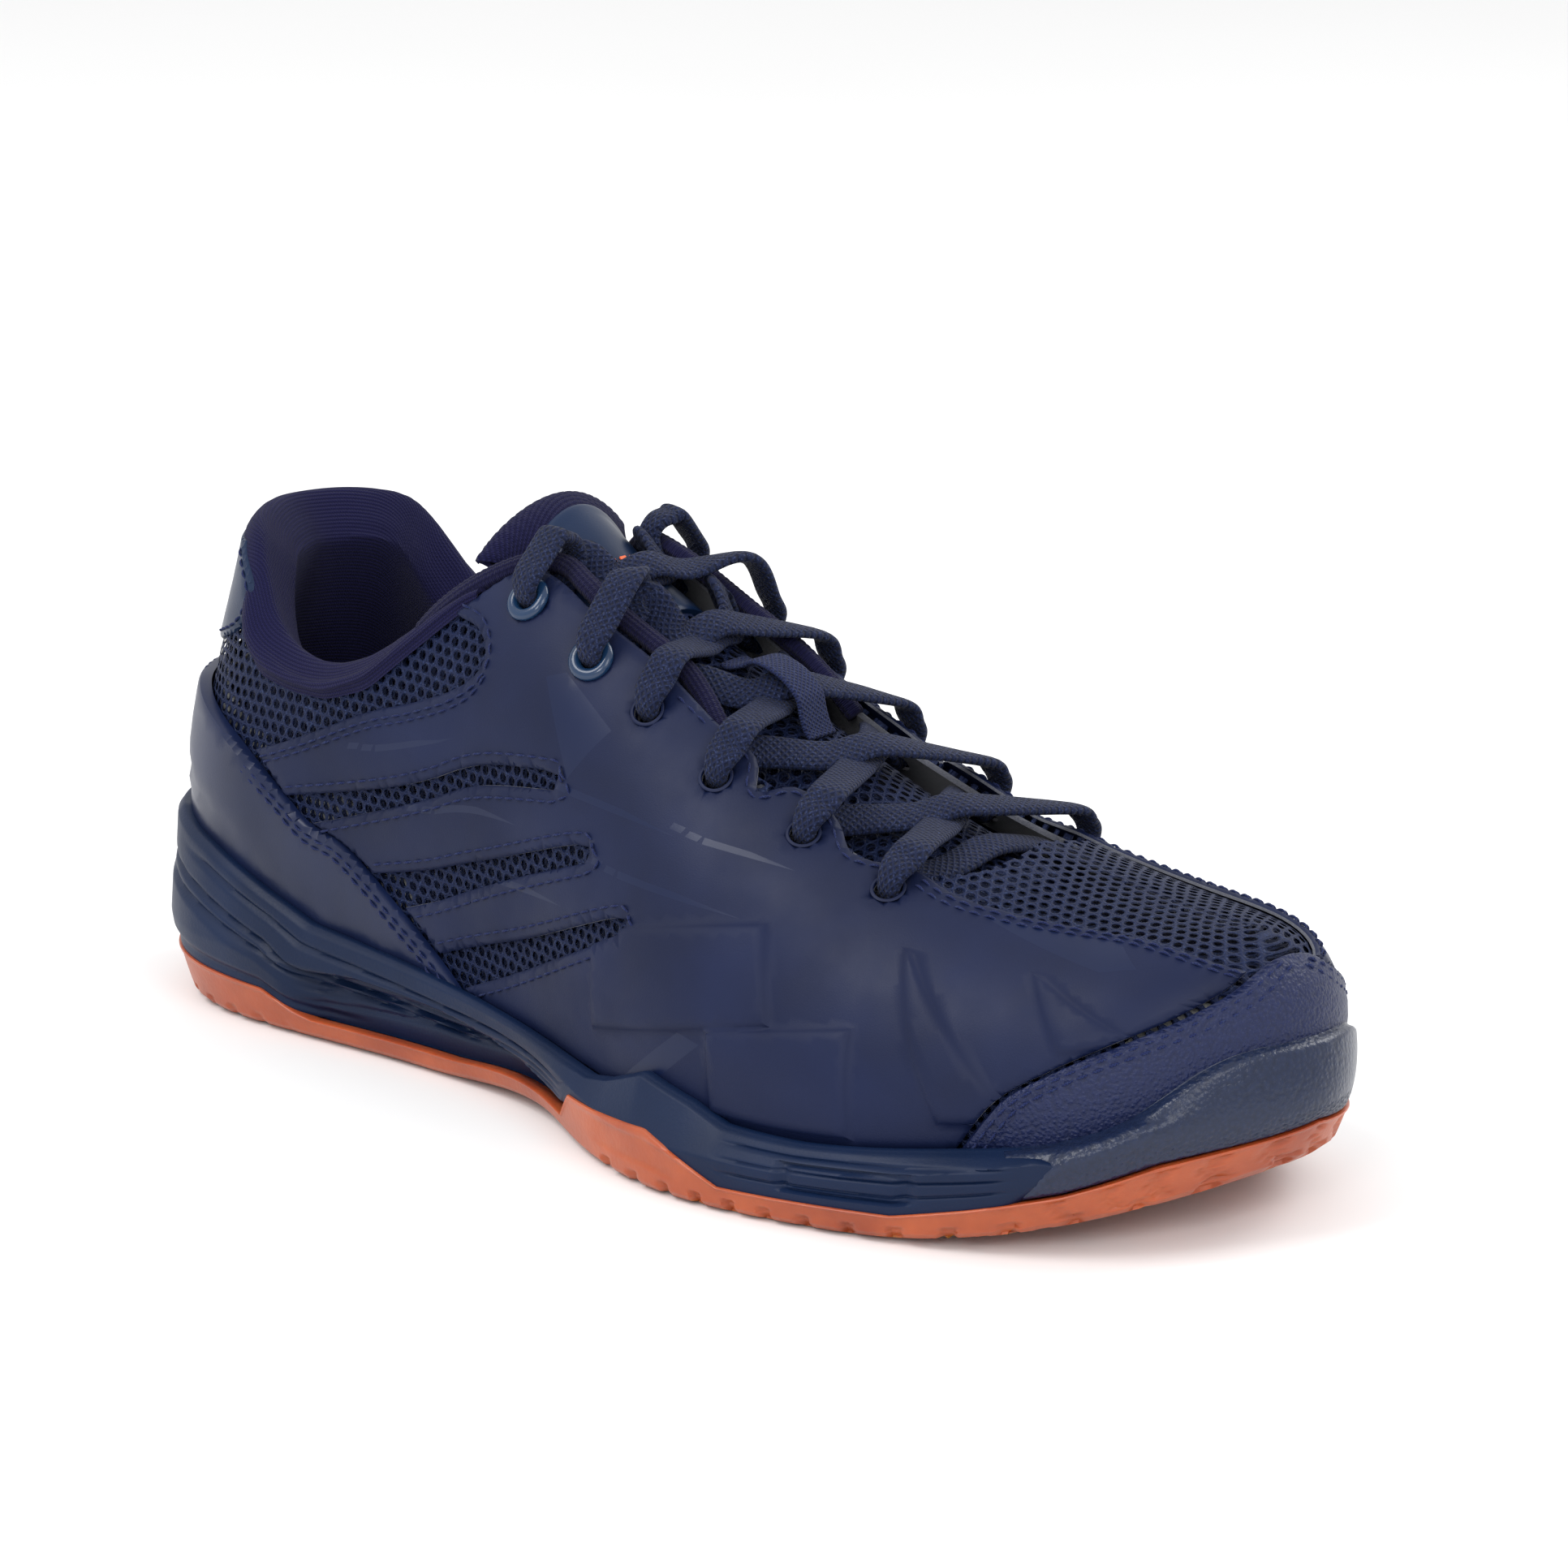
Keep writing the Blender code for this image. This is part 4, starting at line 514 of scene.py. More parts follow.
def grown(corners, amount):
    """The same field with each side moved out by that many mm."""
    points = np.asarray(corners, float) * CHART
    area = np.sum(points[:, 0] * np.roll(points[:, 1], -1) - np.roll(points[:, 0], -1) * points[:, 1])
    moved = []
    for before, at, after in zip(np.roll(points, 1, 0), points, np.roll(points, -1, 0)):
        first, second = unit(at - before), unit(after - at)
        out_1 = np.array([first[1], -first[0]]) * np.sign(area)
        out_2 = np.array([second[1], -second[0]]) * np.sign(area)
        half = unit(out_1 + out_2)
        moved.append(at + half * amount / max(half @ out_1, 0.4))
    return np.array(moved) / CHART


def mirrored(loops):
    return [np.asarray(loop)[::-1] * [-1, 1] for loop in loops]


def other_side(runs_):
    """The same runs past the ridge, in the opposite order."""
    return [[(-2 - a, h) for a, h in reversed(run)] for run in reversed(runs_)]


def rows_of(rows, low, high, shift=0.0):
    inner = [(a, h + shift) for a, h in rows if low + 0.004 < a < high - 0.004]
    return [(low, table(rows, low) + shift), *inner, (high, table(rows, high) + shift)]


def lateral(points):
    return [(-a, h) for a, h in points]


# ---- materials ----


class Nodes:
    """Short way to wire a material's nodes."""

    def __init__(self, name, base, rough, **inputs):
        self.material = bpy.data.materials.new(name)
        self.material.use_nodes = True
        self.tree = self.material.node_tree
        self.shader = self.tree.nodes["Principled BSDF"]
        self.shader.inputs["Base Color"].default_value = (*base, 1)
        self.shader.inputs["Roughness"].default_value = rough
        self.material.diffuse_color = (*base, 1)
        for key, value in inputs.items():
            self.shader.inputs[key.replace("_", " ")].default_value = value

    def add(self, kind, operation=None, inputs=(), **settings):
        node = self.tree.nodes.new(kind)
        if operation:
            node.operation = operation
        for key, value in settings.items():
            setattr(node, key, value)
        for i, value in enumerate(inputs):
            if value is None:
                continue
            if isinstance(value, bpy.types.NodeSocket):
                self.tree.links.new(value, node.inputs[i])
            else:
                node.inputs[i].default_value = value
        return node

    def math(self, operation, *inputs):
        return self.add("ShaderNodeMath", operation, inputs).outputs[0]

    def vector(self, operation, *inputs):
        return self.add("ShaderNodeVectorMath", operation, inputs).outputs[0]

    def place(self, uv=False):
        node = self.add("ShaderNodeTexCoord")
        return node.outputs["UV" if uv else "Object"]

    def noise(self, scale, detail=2.0, rough=0.5, vector=None):
        node = self.add("ShaderNodeTexNoise")
        node.inputs["Scale"].default_value = scale
        node.inputs["Detail"].default_value = detail
        node.inputs["Roughness"].default_value = rough
        self.tree.links.new(vector or self.place(), node.inputs["Vector"])
        return node.outputs[0]

    def link(self, socket, name):
        self.tree.links.new(socket, self.shader.inputs[name])

    def bump(self, height, distance, strength=1.0, after=None):
        node = self.add("ShaderNodeBump")
        node.inputs["Strength"].default_value = strength
        node.inputs["Distance"].default_value = distance
        self.tree.links.new(height, node.inputs["Height"])
        if after is not None:
            self.tree.links.new(after, node.inputs["Normal"])
        self.link(node.outputs[0], "Normal")
        return node.outputs[0]

    def tint(self, factor, dark, light):
        node = self.add("ShaderNodeMix", data_type="RGBA")
        self.tree.links.new(factor, node.inputs[0])
        node.inputs[6].default_value = (*dark, 1)
        node.inputs[7].default_value = (*light, 1)
        self.link(node.outputs[2], "Base Color")
        return node.outputs[2]

    def spread(self, value, low, high, to_low=0.0, to_high=1.0):
        node = self.add("ShaderNodeMapRange")
        for i, v in enumerate((None, low, high, to_low, to_high)):
            if v is not None:
                node.inputs[i].default_value = v
        self.tree.links.new(value, node.inputs[0])
        return node.outputs[0]


def shade(colour, factor):
    return tuple(c * factor for c in colour)


def plain_sheet(name, base, rough, grain=0.00004, scale=2600.0, wear=0.12, light=1.35, **inputs):
    """Coated sheet or moulded plastic: fine grain, soft unevenness, slight change of colour and gloss."""
    n = Nodes(name, base, rough, **inputs)
    cloud = n.noise(38.0, 3.0)
    n.tint(n.spread(cloud, 0.35, 0.7), shade(base, 1 - wear), shade(base, light))
    n.link(n.spread(n.noise(60.0, 4.0), 0.3, 0.7, rough * 0.85, min(1.0, rough * 1.2)), "Roughness")
    n.bump(n.noise(scale, 3.0, 0.6), grain)
    return n.material


def pebble(name, base, rough, scale, distance, **inputs):
    """Grained leather-like sheet, with small rounded pebbles."""
    n = Nodes(name, base, rough, **inputs)
    cells = n.add("ShaderNodeTexVoronoi", feature="SMOOTH_F1")
    cells.inputs["Scale"].default_value = scale
    n.tree.links.new(n.place(), cells.inputs["Vector"])
    # painted shade and highlight: pebble tops lighter and the creases between them darker, following the
    # bump's height
    n.tint(n.spread(cells.outputs["Distance"], 0.1, 0.8), shade(base, 1.25), shade(base, 0.8))
    mix = n.math("ADD", n.math("MULTIPLY", cells.outputs["Distance"], -1.0),
                 n.math("MULTIPLY", n.noise(scale * 2.3, 2.0), 0.4))
    n.bump(mix, distance)
    return n.material


def open_mesh(name, base, pitch, hole, light, rough=0.6):
    """Open mesh cloth: round holes in a honeycomb, with threads that bulge round them, and painted glints."""
    n = Nodes(name, base, rough, Specular_IOR_Level=0.2)
    half = (pitch / 2, pitch * math.sqrt(3) / 2, 1.0)
    uv = n.place(uv=True)
    warp = n.add("ShaderNodeTexNoise")
    warp.inputs["Scale"].default_value = 0.12
    n.tree.links.new(uv, warp.inputs["Vector"])
    shift = n.vector("SCALE", n.vector("SUBTRACT", warp.outputs["Color"], (0.5, 0.5, 0.5)))
    shift.node.inputs["Scale"].default_value = pitch * 0.5
    uv = n.vector("ADD", uv, shift)
    distances = []
    for start in ((0, 0, 0), half):
        moved = n.vector("SUBTRACT", uv, start)
        wrapped = n.vector("WRAP", moved, half, tuple(-v for v in half))
        flat = n.vector("MULTIPLY", wrapped, (1, 1, 0))
        distances.append(n.add("ShaderNodeVectorMath", "LENGTH", [flat]).outputs["Value"])
    near = n.math("MINIMUM", *distances)
    ridge = n.spread(near, pitch * hole, pitch * 0.58)
    n.tree.links.new(n.spread(near, pitch * (hole - 0.04), pitch * (hole + 0.04)), n.shader.inputs["Alpha"])
    fibre = n.noise(5200.0, 2.0)
    # painted glints: random specks tinted toward the light colour stand in for sparkle off the threads
    glint = n.spread(n.noise(2300.0, 0.0), 0.66, 0.72)
    n.tint(n.math("MULTIPLY", glint, 0.5), base, light)
    height = n.math("ADD", n.math("SINE", n.math("MULTIPLY", ridge, 3.0)), n.math("MULTIPLY", fibre, 0.3))
    n.bump(height, 0.0004)
    return n.material


def knit_cloth(name, base, course=0.8, wale=0.75, light=None, depth=0.00016, rough=0.85):
    """Fine knit: rows of small V stitches, with a soft nap."""
    n = Nodes(name, base, rough, Sheen_Weight=0.04, Sheen_Roughness=0.5, Specular_IOR_Level=0.12)
    uv = n.add("ShaderNodeSeparateXYZ", inputs=[n.place(uv=True)])
    u, v = uv.outputs[0], uv.outputs[1]
    across = n.math("MULTIPLY", u, 2 * math.pi / wale)
    lean = n.math("MULTIPLY", n.math("ABSOLUTE", n.math("SINE", n.math("MULTIPLY", across, 0.5))), 1.6)
    along = n.math("ADD", n.math("MULTIPLY", v, 2 * math.pi / course), lean)
    loops = n.math("MULTIPLY", n.math("ADD", n.math("SINE", along), 1.0),
                   n.math("ADD", n.math("ABSOLUTE", n.math("SINE", across)), 0.4))
    fuzz = n.noise(4000.0, 3.0, 0.7)
    # partly painted shade: darker between the loops and lighter on their crests, following the bump's height;
    # the fuzz adds random tone
    n.tint(n.spread(n.math("ADD", loops, fuzz), 0.4, 3.0), shade(base, 0.7), light or shade(base, 1.6))
    n.bump(n.math("ADD", n.math("MULTIPLY", loops, 0.5), n.math("MULTIPLY", fuzz, 0.5)), depth)
    return n.material


def braid(name, base, fleck, pitch=1.5, depth=0.0002):
    """Flat braided cord: crossing strands, with pale flecks."""
    n = Nodes(name, base, 0.72, Sheen_Weight=0.03, Specular_IOR_Level=0.2)
    uv = n.add("ShaderNodeSeparateXYZ", inputs=[n.place(uv=True)])
    u, v = uv.outputs[0], uv.outputs[1]
    strands = []
    for sign in (1.0, -1.0):
        run = n.math("ADD", n.math("MULTIPLY", u, 2 * math.pi / pitch),
                     n.math("MULTIPLY", v, sign * 2 * math.pi / pitch * 0.9))
        strands.append(n.math("SINE", run))
    weave = n.math("MAXIMUM", *strands)
    fuzz = n.noise(3800.0, 2.0, 0.7)
    flecks = n.spread(n.noise(2600.0, 0.0), 0.63, 0.69)
    # partly painted shade: lighter on the strands' crests and darker in the grooves between them, following
    # the weave's height; the fuzz adds random tone
    colour = n.tint(n.spread(n.math("ADD", weave, n.math("MULTIPLY", fuzz, 0.6)), -0.6, 1.4),
                    shade(base, 0.55), shade(base, 1.5))
    mix = n.add("ShaderNodeMix", data_type="RGBA")
    n.tree.links.new(n.math("MULTIPLY", flecks, 0.55), mix.inputs[0])
    n.tree.links.new(colour, mix.inputs[6])
    mix.inputs[7].default_value = (*fleck, 1)
    n.link(mix.outputs[2], "Base Color")
    n.bump(n.math("ADD", weave, n.math("MULTIPLY", fuzz, 0.5)), depth)
    return n.material


def gum_rubber(name, base, deep):
    """Gum rubber: cloudy colour, faint grain and a little light let through."""
    n = Nodes(name, base, 0.38, Subsurface_Weight=0.35, Subsurface_Radius=(1.0, 0.35, 0.12),
              Subsurface_Scale=0.003, Coat_Weight=0.05, Coat_Roughness=0.3)
    cloud = n.noise(55.0, 4.0, 0.6)
    n.tint(n.spread(cloud, 0.3, 0.72), deep, base)
    n.bump(n.math("ADD", n.noise(900.0, 3.0), n.math("MULTIPLY", cloud, 0.5)), 0.00008)
    return n.material


def felt_cloth(name, base, scale=3000.0, depth=0.0002):
    """Matted fibres, with no weave."""
    n = Nodes(name, base, 0.95, Sheen_Weight=0.2)
    fibres = n.noise(scale, 4.0, 0.75)
    n.tint(n.spread(fibres, 0.3, 0.75), shade(base, 0.55), shade(base, 1.35))
    n.bump(fibres, depth)
    return n.material


OVERLAY = plain_sheet("overlay_sheet", (0.0042, 0.0085, 0.035), 0.5, grain=0.00003, scale=3200.0,
                      light=1.25, Specular_IOR_Level=0.2)
BAND = plain_sheet("gloss_band", (0.0045, 0.0098, 0.039), 0.33, grain=0.000008, wear=0.05, light=1.15,
                   Specular_IOR_Level=0.24)
CAP = pebble("grained_cap", (0.0062, 0.0115, 0.050), 0.42, 1500.0, 0.0003, Specular_IOR_Level=0.3)
GUARD = pebble("guard_rubber", (0.0062, 0.0125, 0.038), 0.28, 1150.0, 0.00014, Specular_IOR_Level=0.4)
SHELL = plain_sheet("shell_gloss", (0.0050, 0.0100, 0.038), 0.33, grain=0.00002, Specular_IOR_Level=0.28,
                    Coat_Weight=0.05, Coat_Roughness=0.2)
EVA = plain_sheet("midsole_foam", (0.0020, 0.0095, 0.036), 0.44, grain=0.00005, scale=1500.0, light=1.2,
                  Specular_IOR_Level=0.22)
GUM = gum_rubber("orange_gum", (0.43, 0.088, 0.022), (0.27, 0.045, 0.011))
# the last colour of each honeycomb mesh is the colour of its painted glints
MESH = open_mesh("honeycomb_mesh", (0.0045, 0.0105, 0.044), 2.8, 0.32, (0.03, 0.05, 0.13))
MESH_FINE = open_mesh("honeycomb_mesh_vamp", (0.0045, 0.0105, 0.044), 2.6, 0.31, (0.03, 0.05, 0.13))
KNIT = knit_cloth("collar_knit", (0.0062, 0.0060, 0.036))
KNIT_TONGUE = knit_cloth("tongue_knit_cloth", (0.0062, 0.0062, 0.036), course=1.1, wale=0.8, depth=0.00022)
LINING = knit_cloth("lining_cloth", (0.0035, 0.0045, 0.018), course=0.9, wale=0.9, depth=0.0001)
PATCH = plain_sheet("tongue_patch_film", (0.0042, 0.0135, 0.042), 0.34, light=1.2, Specular_IOR_Level=0.25)
LACE = braid("lace_braid", (0.0028, 0.0062, 0.026), (0.03, 0.045, 0.12))
THREAD = braid("thread", (0.0065, 0.012, 0.056), (0.03, 0.045, 0.10), pitch=0.5, depth=0.00005)
PIPING = knit_cloth("piping_knit", (0.0060, 0.0060, 0.030), course=0.9, wale=0.8, depth=0.0002)
FELT = felt_cloth("grey_felt_cloth", (0.085, 0.09, 0.115))
RING = plain_sheet("ring_gloss", (0.0060, 0.0230, 0.062), 0.17, grain=0.00001)
WEB = braid("webbing_weave", (0.0050, 0.0095, 0.042), (0.03, 0.045, 0.12), pitch=1.1, depth=0.00018)
MARK = plain_sheet("orange_mark", (0.75, 0.12, 0.03), 0.4, grain=0.00002)
INSOLE = knit_cloth("insole_cloth", (0.010, 0.013, 0.036), course=1.2, wale=1.1)
BOARD = felt_cloth("board_fibre", (0.6, 0.6, 0.58))
STIFF = felt_cloth("stiffener_sheet", (0.5, 0.5, 0.48), 900.0)
TIP = plain_sheet("aglet_film", (0.008, 0.014, 0.04), 0.2, grain=0.00001)


# ---- sole ----


def side(a, z, inset=0.0):
    """Point on the sole's outer wall at a height. Both may be arrays."""
    a, z = np.broadcast_arrays(np.asarray(a, float), np.asarray(z, float))
    ground, wide = ground_ring(a), wide_ring(a)
    away = outward(a)
    top = surface(a, table(CUP_TOP, a)) + away * 4.6
    z0, z1 = bottom(ground[..., 0]), wide[..., 2]
    z2 = np.maximum(top[..., 2], z1 + 0.5)
    t = np.clip((z - z0) / (z1 - z0), 0, 1)[..., None]
    u = np.clip((z - z1) / (z2 - z1), 0, 1)[..., None]
    t = t * (2 - t) * 0.5 + t * 0.5
    xy = ground[..., :2] * (1 - t) + wide[..., :2] * t
    xy = xy * (1 - u) + top[..., :2] * u
    return np.concatenate([xy, z[..., None]], -1) - away * np.asarray(inset)[..., None]


STATIONS = np.linspace(-1, 1, 721)[:-1]
RIM_Z = np.maximum(table(OUTSOLE_TOP, STATIONS), bottom(ground_ring(STATIONS)[:, 0]) + RIM_LEAST)


def spine(a):
    left, right = upper_ring(-np.abs(a)), upper_ring(np.abs(a))
    x = np.clip((left[..., 0] + right[..., 0]) / 2, 30, 250)
    y = (left[..., 1] + right[..., 1]) / 2 * ((x > 30) & (x < 250))
    return x, y


def step_up(value, low, high):
    t = np.clip((value - low) / (high - low), 0, 1)
    return t * t * (3 - 2 * t)


def plateau(value, up_from, up_to, down_from, down_to):
    return step_up(value, up_from, up_to) * (1 - step_up(value, down_from, down_to))


def groove(value, centre, width):
    return np.exp(-(((value - centre) / width) ** 2))


def tread(x, y):
    """Depth of the tread's grooves at a place, in mm above the lugs' faces."""
    fore = plateau(x, 150, 156, 262, 266)
    heel = 1 - step_up(x, 88, 94)
    fold = np.abs(((y + 3) / 21 + 0.5) % 1 - 0.5) * 21
    chevron = ((x + fold * 0.9) / 7.2) % 1
    lines = step_up(np.abs(chevron - 0.5), 0.36, 0.44)
    gaps = step_up(np.abs(((y + 3) / 21) % 1 - 0.5), 0.45, 0.48)
    ring_d = np.hypot(x - 198, y - 14)
    rings = step_up(np.abs((ring_d / 7.0) % 1 - 0.5), 0.33, 0.42)
    in_ring = 1 - step_up(ring_d, 20.5, 21.5)
    pattern = np.maximum(lines, gaps) * (1 - in_ring) + rings * in_ring
    rim = step_up(np.abs(ring_d - 22.5), 0.7, 1.1)
    pattern = np.maximum(pattern, 1 - rim)
    arch = step_up(np.abs(((x - y * 0.5) / 12) % 1 - 0.5), 0.44, 0.48) * 0.35
    return 1.5 * np.maximum(pattern * np.maximum(fore, heel), arch * (1 - np.maximum(fore, heel)))


def outsole():
    x_mid, y_mid = spine(STATIONS)
    away = outward(STATIONS)
    ground = ground_ring(STATIONS)
    shares = np.concatenate([np.linspace(0, 0.97, 46), [1.0]])
    rows = []
    edge_x, edge_y = ground[:, 0] - away[:, 0] * 1.6, ground[:, 1] - away[:, 1] * 1.6
    for share in shares:
        x, y = x_mid + (edge_x - x_mid) * share, y_mid + (edge_y - y_mid) * share
        lift = tread(x, y) * (1 - step_up(share, 0.985, 1.0) * 0.4)
        rows.append(np.stack([x, y, bottom(x) + lift], -1))
    base = bottom(ground[:, 0])
    run = 300 * STATIONS
    fore = step_up(np.abs(STATIONS), 0.57, 0.59)
    toe = step_up(np.abs(STATIONS), 0.86, 0.9)
    back = 1 - step_up(np.abs(STATIONS), 0.2, 0.24)
    notch = step_up(np.abs((run / 8.5) % 1 - 0.5), 0.33, 0.40) * np.maximum(fore, 0.5 * back)
    for share in np.linspace(0.0, 1.0, 30):
        z = base + 0.35 + (RIM_Z - base - 0.35) * share
        above = z - base
        cut = notch * (1 - step_up(above, 1.8, 3.2)) * 1.3
        # chevron lugs that wrap up round the toe, and a soft welt under the midsole
        wrap = step_up(np.abs(((run + 3.5 * np.abs((above / 5) % 2 - 1)) / 6.4) % 1 - 0.5), 0.30, 0.40)
        cut = cut + 0.8 * wrap * toe * step_up(above, 1.0, 2.0) * (1 - step_up(share, 0.84, 0.92))
        panel_ = fore * (1 - toe) * step_up(np.abs(STATIONS), 0.57,
                0.6) * (1 - step_up(np.abs(STATIONS), 0.64, 0.67))
        cut = cut + 0.45 * panel_ * step_up(share, 0.35, 0.45) * (1 - step_up(share, 0.82, 0.9))
        cut = cut - 0.35 * groove(share, 0.96, 0.05)
        rows.append(side(STATIONS, z, cut - 0.25 + 0.9 * (1 - step_up(above, 0.2, 1.6))))
    rows.append(side(STATIONS, RIM_Z + 0.15, 0.4))
    rows.append(side(STATIONS, RIM_Z - 0.2, 2.4))
    rows.append(side(STATIONS, base + BED, 2.6))
    for share in (0.6, 0.0):
        x, y = x_mid + (rows[-1][:, 0] - x_mid) * share, y_mid + (rows[-1][:, 1] - y_mid) * share
        rows.append(np.stack([x, y, bottom(x) + BED], -1))
    points = np.stack(rows, 1)
    count = points.shape[1]
    faces = [f[::-1] for f in grid_faces(len(STATIONS), count, closed=True)]
    run_v = np.concatenate([[0], np.cumsum(np.full(count - 1, 1.5))])
    uvs = np.stack([np.repeat(300 * STATIONS, count), np.tile(run_v, len(STATIONS))], -1)
    weld(make("outsole_tread", points.reshape(-1, 3), faces, GUM, uvs, sharp=50, slot="gum_rubber",
              replaces=["outsole"]))


def weld(obj, distance=0.00002):
    """Joins points in one place, so that the middle line and any folded edge close."""
    work = bmesh.new()
    work.from_mesh(obj.data)
    bmesh.ops.remove_doubles(work, verts=work.verts, dist=distance)
    bmesh.ops.dissolve_degenerate(work, edges=work.edges, dist=1e-7)
    bmesh.ops.recalc_face_normals(work, faces=work.faces)
    work.to_mesh(obj.data)
    work.free()
    return obj


def midsole():
    a = STATIONS
    size = np.abs(a)
    away = outward(a)
    feather = upper_ring(a)[:, :3]
    lip = surface(a, table(CUP_TOP, a))
    toe = step_up(size, 0.903, 0.918)
    drop = step_up(size, 0.885, 0.905)
    low = RIM_Z
    lip_z = lip[:, 2] * (1 - drop) + (feather[:, 2] - 1.0) * drop
    rows = []
    x_mid, y_mid = spine(a)
    under = side(a, low - 0.3, 2.9)
    for share in (0.0, 0.6):
        x, y = x_mid + (under[:, 0] - x_mid) * share, y_mid + (under[:, 1] - y_mid) * share
        rows.append(np.stack([x, y, bottom(x) + 3.9], -1))
    rows.append(under)
    shares = np.linspace(0, 1, 46)
    arch = plateau(size, 0.225, 0.26, 0.50, 0.545)
    heel = 1 - step_up(size, 0.26, 0.30)
    fade = plateau(size, 0.69, 0.72, 0.865, 0.88)
    for v in shares:
        z = low + (lip_z - low) * v
        deep = 0.0 * size
        # recessed arch plate under a long sweeping edge
        edge = 0.62 - 0.38 * step_up(size, 0.36, 0.53) - 0.1 * (1 - step_up(size, 0.24, 0.30))
        deep = deep + arch * 3.0 * (1 - step_up(v, edge - 0.04, edge + 0.05))
        for k, (start, width, amount) in enumerate(((0.16, 0.020, 0.5), (0.30, 0.018, 0.45),
                (0.44, 0.016, 0.4))):
            line = start + 0.16 * np.sin((size - 0.24) * 9) * (1 - k * 0.2)
            deep = deep + arch * amount * groove(v, line, width * 1.6)
        # long grooves that sweep from the heel down to the arch
        for start, fall, amount, from_, to_ in ((0.70, 0.9, 0.75, 0.02, 0.50), (0.55, 0.8, 0.6, 0.05, 0.44),
                (0.86, 0.55, 0.55, 0.10, 0.56)):
            centre = start - fall * (np.clip(size - from_, 0, 1)) ** 1.15 * 1.1
            on = plateau(size, from_, from_ + 0.05, to_ - 0.08, to_)
            deep = deep + 1.5 * amount * groove(v, centre, 0.026) * on
        # a raised flank at the back of the heel
        flank = heel * step_up(v, 0.10, 0.16) * (1 - step_up(v, 0.62 - size * 1.4, 0.68 - size * 1.4))
        deep = deep - 0.5 * flank * step_up(size, 0.03, 0.05) + 0.4 * heel * groove(v, 0.08, 0.03)
        # fore panel: a shallow window with a raised plate in it, and fine grooves on both sides
        for centre in (0.30, 0.56, 0.80):
            deep = deep + 0.6 * groove(v, centre, 0.03) * fade
        window = plateau(size, 0.745, 0.75, 0.828, 0.833) * plateau(v, 0.16, 0.2, 0.7, 0.74)
        plate = plateau(size, 0.752, 0.757, 0.82, 0.826) * plateau(v, 0.22, 0.26, 0.62, 0.66)
        deep = deep + 1.1 * window - 0.6 * plate
        # soft roll at the lip
        deep = deep + 0.9 * step_up(v, 0.93, 1.0) ** 2
        start = 0.876 + 0.030 * v
        cover = step_up(size, start, start + 0.012) * (2.9 + 0.2 * v)
        rows.append(side(a, z, deep + cover))
    crest = lip + away * 3.2 + [0, 0, 0.25]
    crest[:, 2] = np.where(drop > 0, lip_z + 0.25 * (1 - drop), crest[:, 2])
    crest = crest * (1 - toe[:, None]) + (feather + away * 0.9 - [0, 0, 0.6]) * toe[:, None]
    rows.append(crest)
    cup = lip + away * 1.9
    cup[:, 2] = np.where(drop > 0, feather[:, 2] * drop + cup[:, 2] * (1 - drop) - 0.5 * drop, cup[:, 2])
    cup = cup * (1 - toe[:, None]) + (feather + away * 0.5 - [0, 0, 0.5]) * toe[:, None]
    rows.append(cup)
    rows.append(feather + away * (1.9 - 1.6 * toe)[:, None] - [0, 0, 0.5])
    rows.append(feather - away * 2.5 - [0, 0, 0.5])
    edge_line = upper_ring(np.linspace(0.03, 0.97, 60))
    bed = np.interp(x_mid, np.sort(edge_line[:, 0]), edge_line[:, 2])
    rows.append(np.stack([x_mid, y_mid, bed - 0.5], -1))
    points = np.stack(rows, 1)
    count = points.shape[1]
    faces = [f[::-1] for f in grid_faces(len(a), count, closed=True)]
    uvs = np.stack([np.repeat(300 * a, count), np.tile(np.arange(count) * 0.7, len(a))], -1)
    weld(make("midsole_cup", points.reshape(-1, 3), faces, EVA, uvs, sharp=50, slot="midsole_foam",
              replaces=["midsole"]))


def toe_guard():
    near = np.linspace(0.874, 1.0, 110)
    stations = np.concatenate([-near[:-1], near[::-1]])
    size = np.abs(stations)
    top = soft_table(GUARD_TOP, stations, 0.014)
    away = outward(stations)
    feather = upper_ring(stations)[:, :3]
    low = np.maximum(table(OUTSOLE_TOP, stations), bottom(ground_ring(stations)[:, 0]) + RIM_LEAST) + 0.15
    tip = skin(stations, top, 3.3)
    wide = np.minimum(np.maximum(wide_ring(stations)[:, 2], low + 1), feather[:, 2] + 4)
    bulge = side(stations, wide, 0.1)
    foot = side(stations, low, 0.2)
    outer, uv = [], []
    for t in np.linspace(0, 1, 40):
        curve = (1 - t) ** 2 * foot + 2 * (1 - t) * t * (2 * bulge - 0.5 * (foot + tip)) + t**2 * tip
        run = 300 * stations
        across = t * 26
        p, q = ((run + across) / 2.1) % 1, ((run - across) / 2.1) % 1
        diamond = np.maximum(np.abs(p - 0.5), np.abs(q - 0.5))
        lattice = step_up(diamond, 0.38, 0.47) * 0.22 * (1 - step_up(t, 0.30, 0.36)) * step_up(t, 0.04, 0.07)
        rolled = 1.6 * step_up(t, 0.90, 1.0) ** 2 + 0.5 * (1 - step_up(t, 0.0, 0.04))
        n = unit(curve - (feather + [0, 0, 6.0]) + away * 8)
        start = 0.874 + 0.030 * t
        thin = 1 - step_up(size, start, start + 0.012)
        outer.append(curve - n * (lattice + rolled)[:, None] - away * (1.9 * thin)[:, None])
        uv.append(np.stack([run, np.full(len(run), across)], -1))
    inner = []
    for t in np.linspace(0, 1, 40):
        inner.append(feather + away * 1.7
                     - [0, 0, 1.0] if t < 0.3 else skin(stations, top * (t - 0.3) / 0.7, 1.6))
    weld(grid_shell("toe_bumper", np.stack(outer, 1), np.stack(inner, 1), GUARD, np.stack(uv, 1), sharp=60,
                    slot="bumper_rubber", replaces=["toe_guard"]))


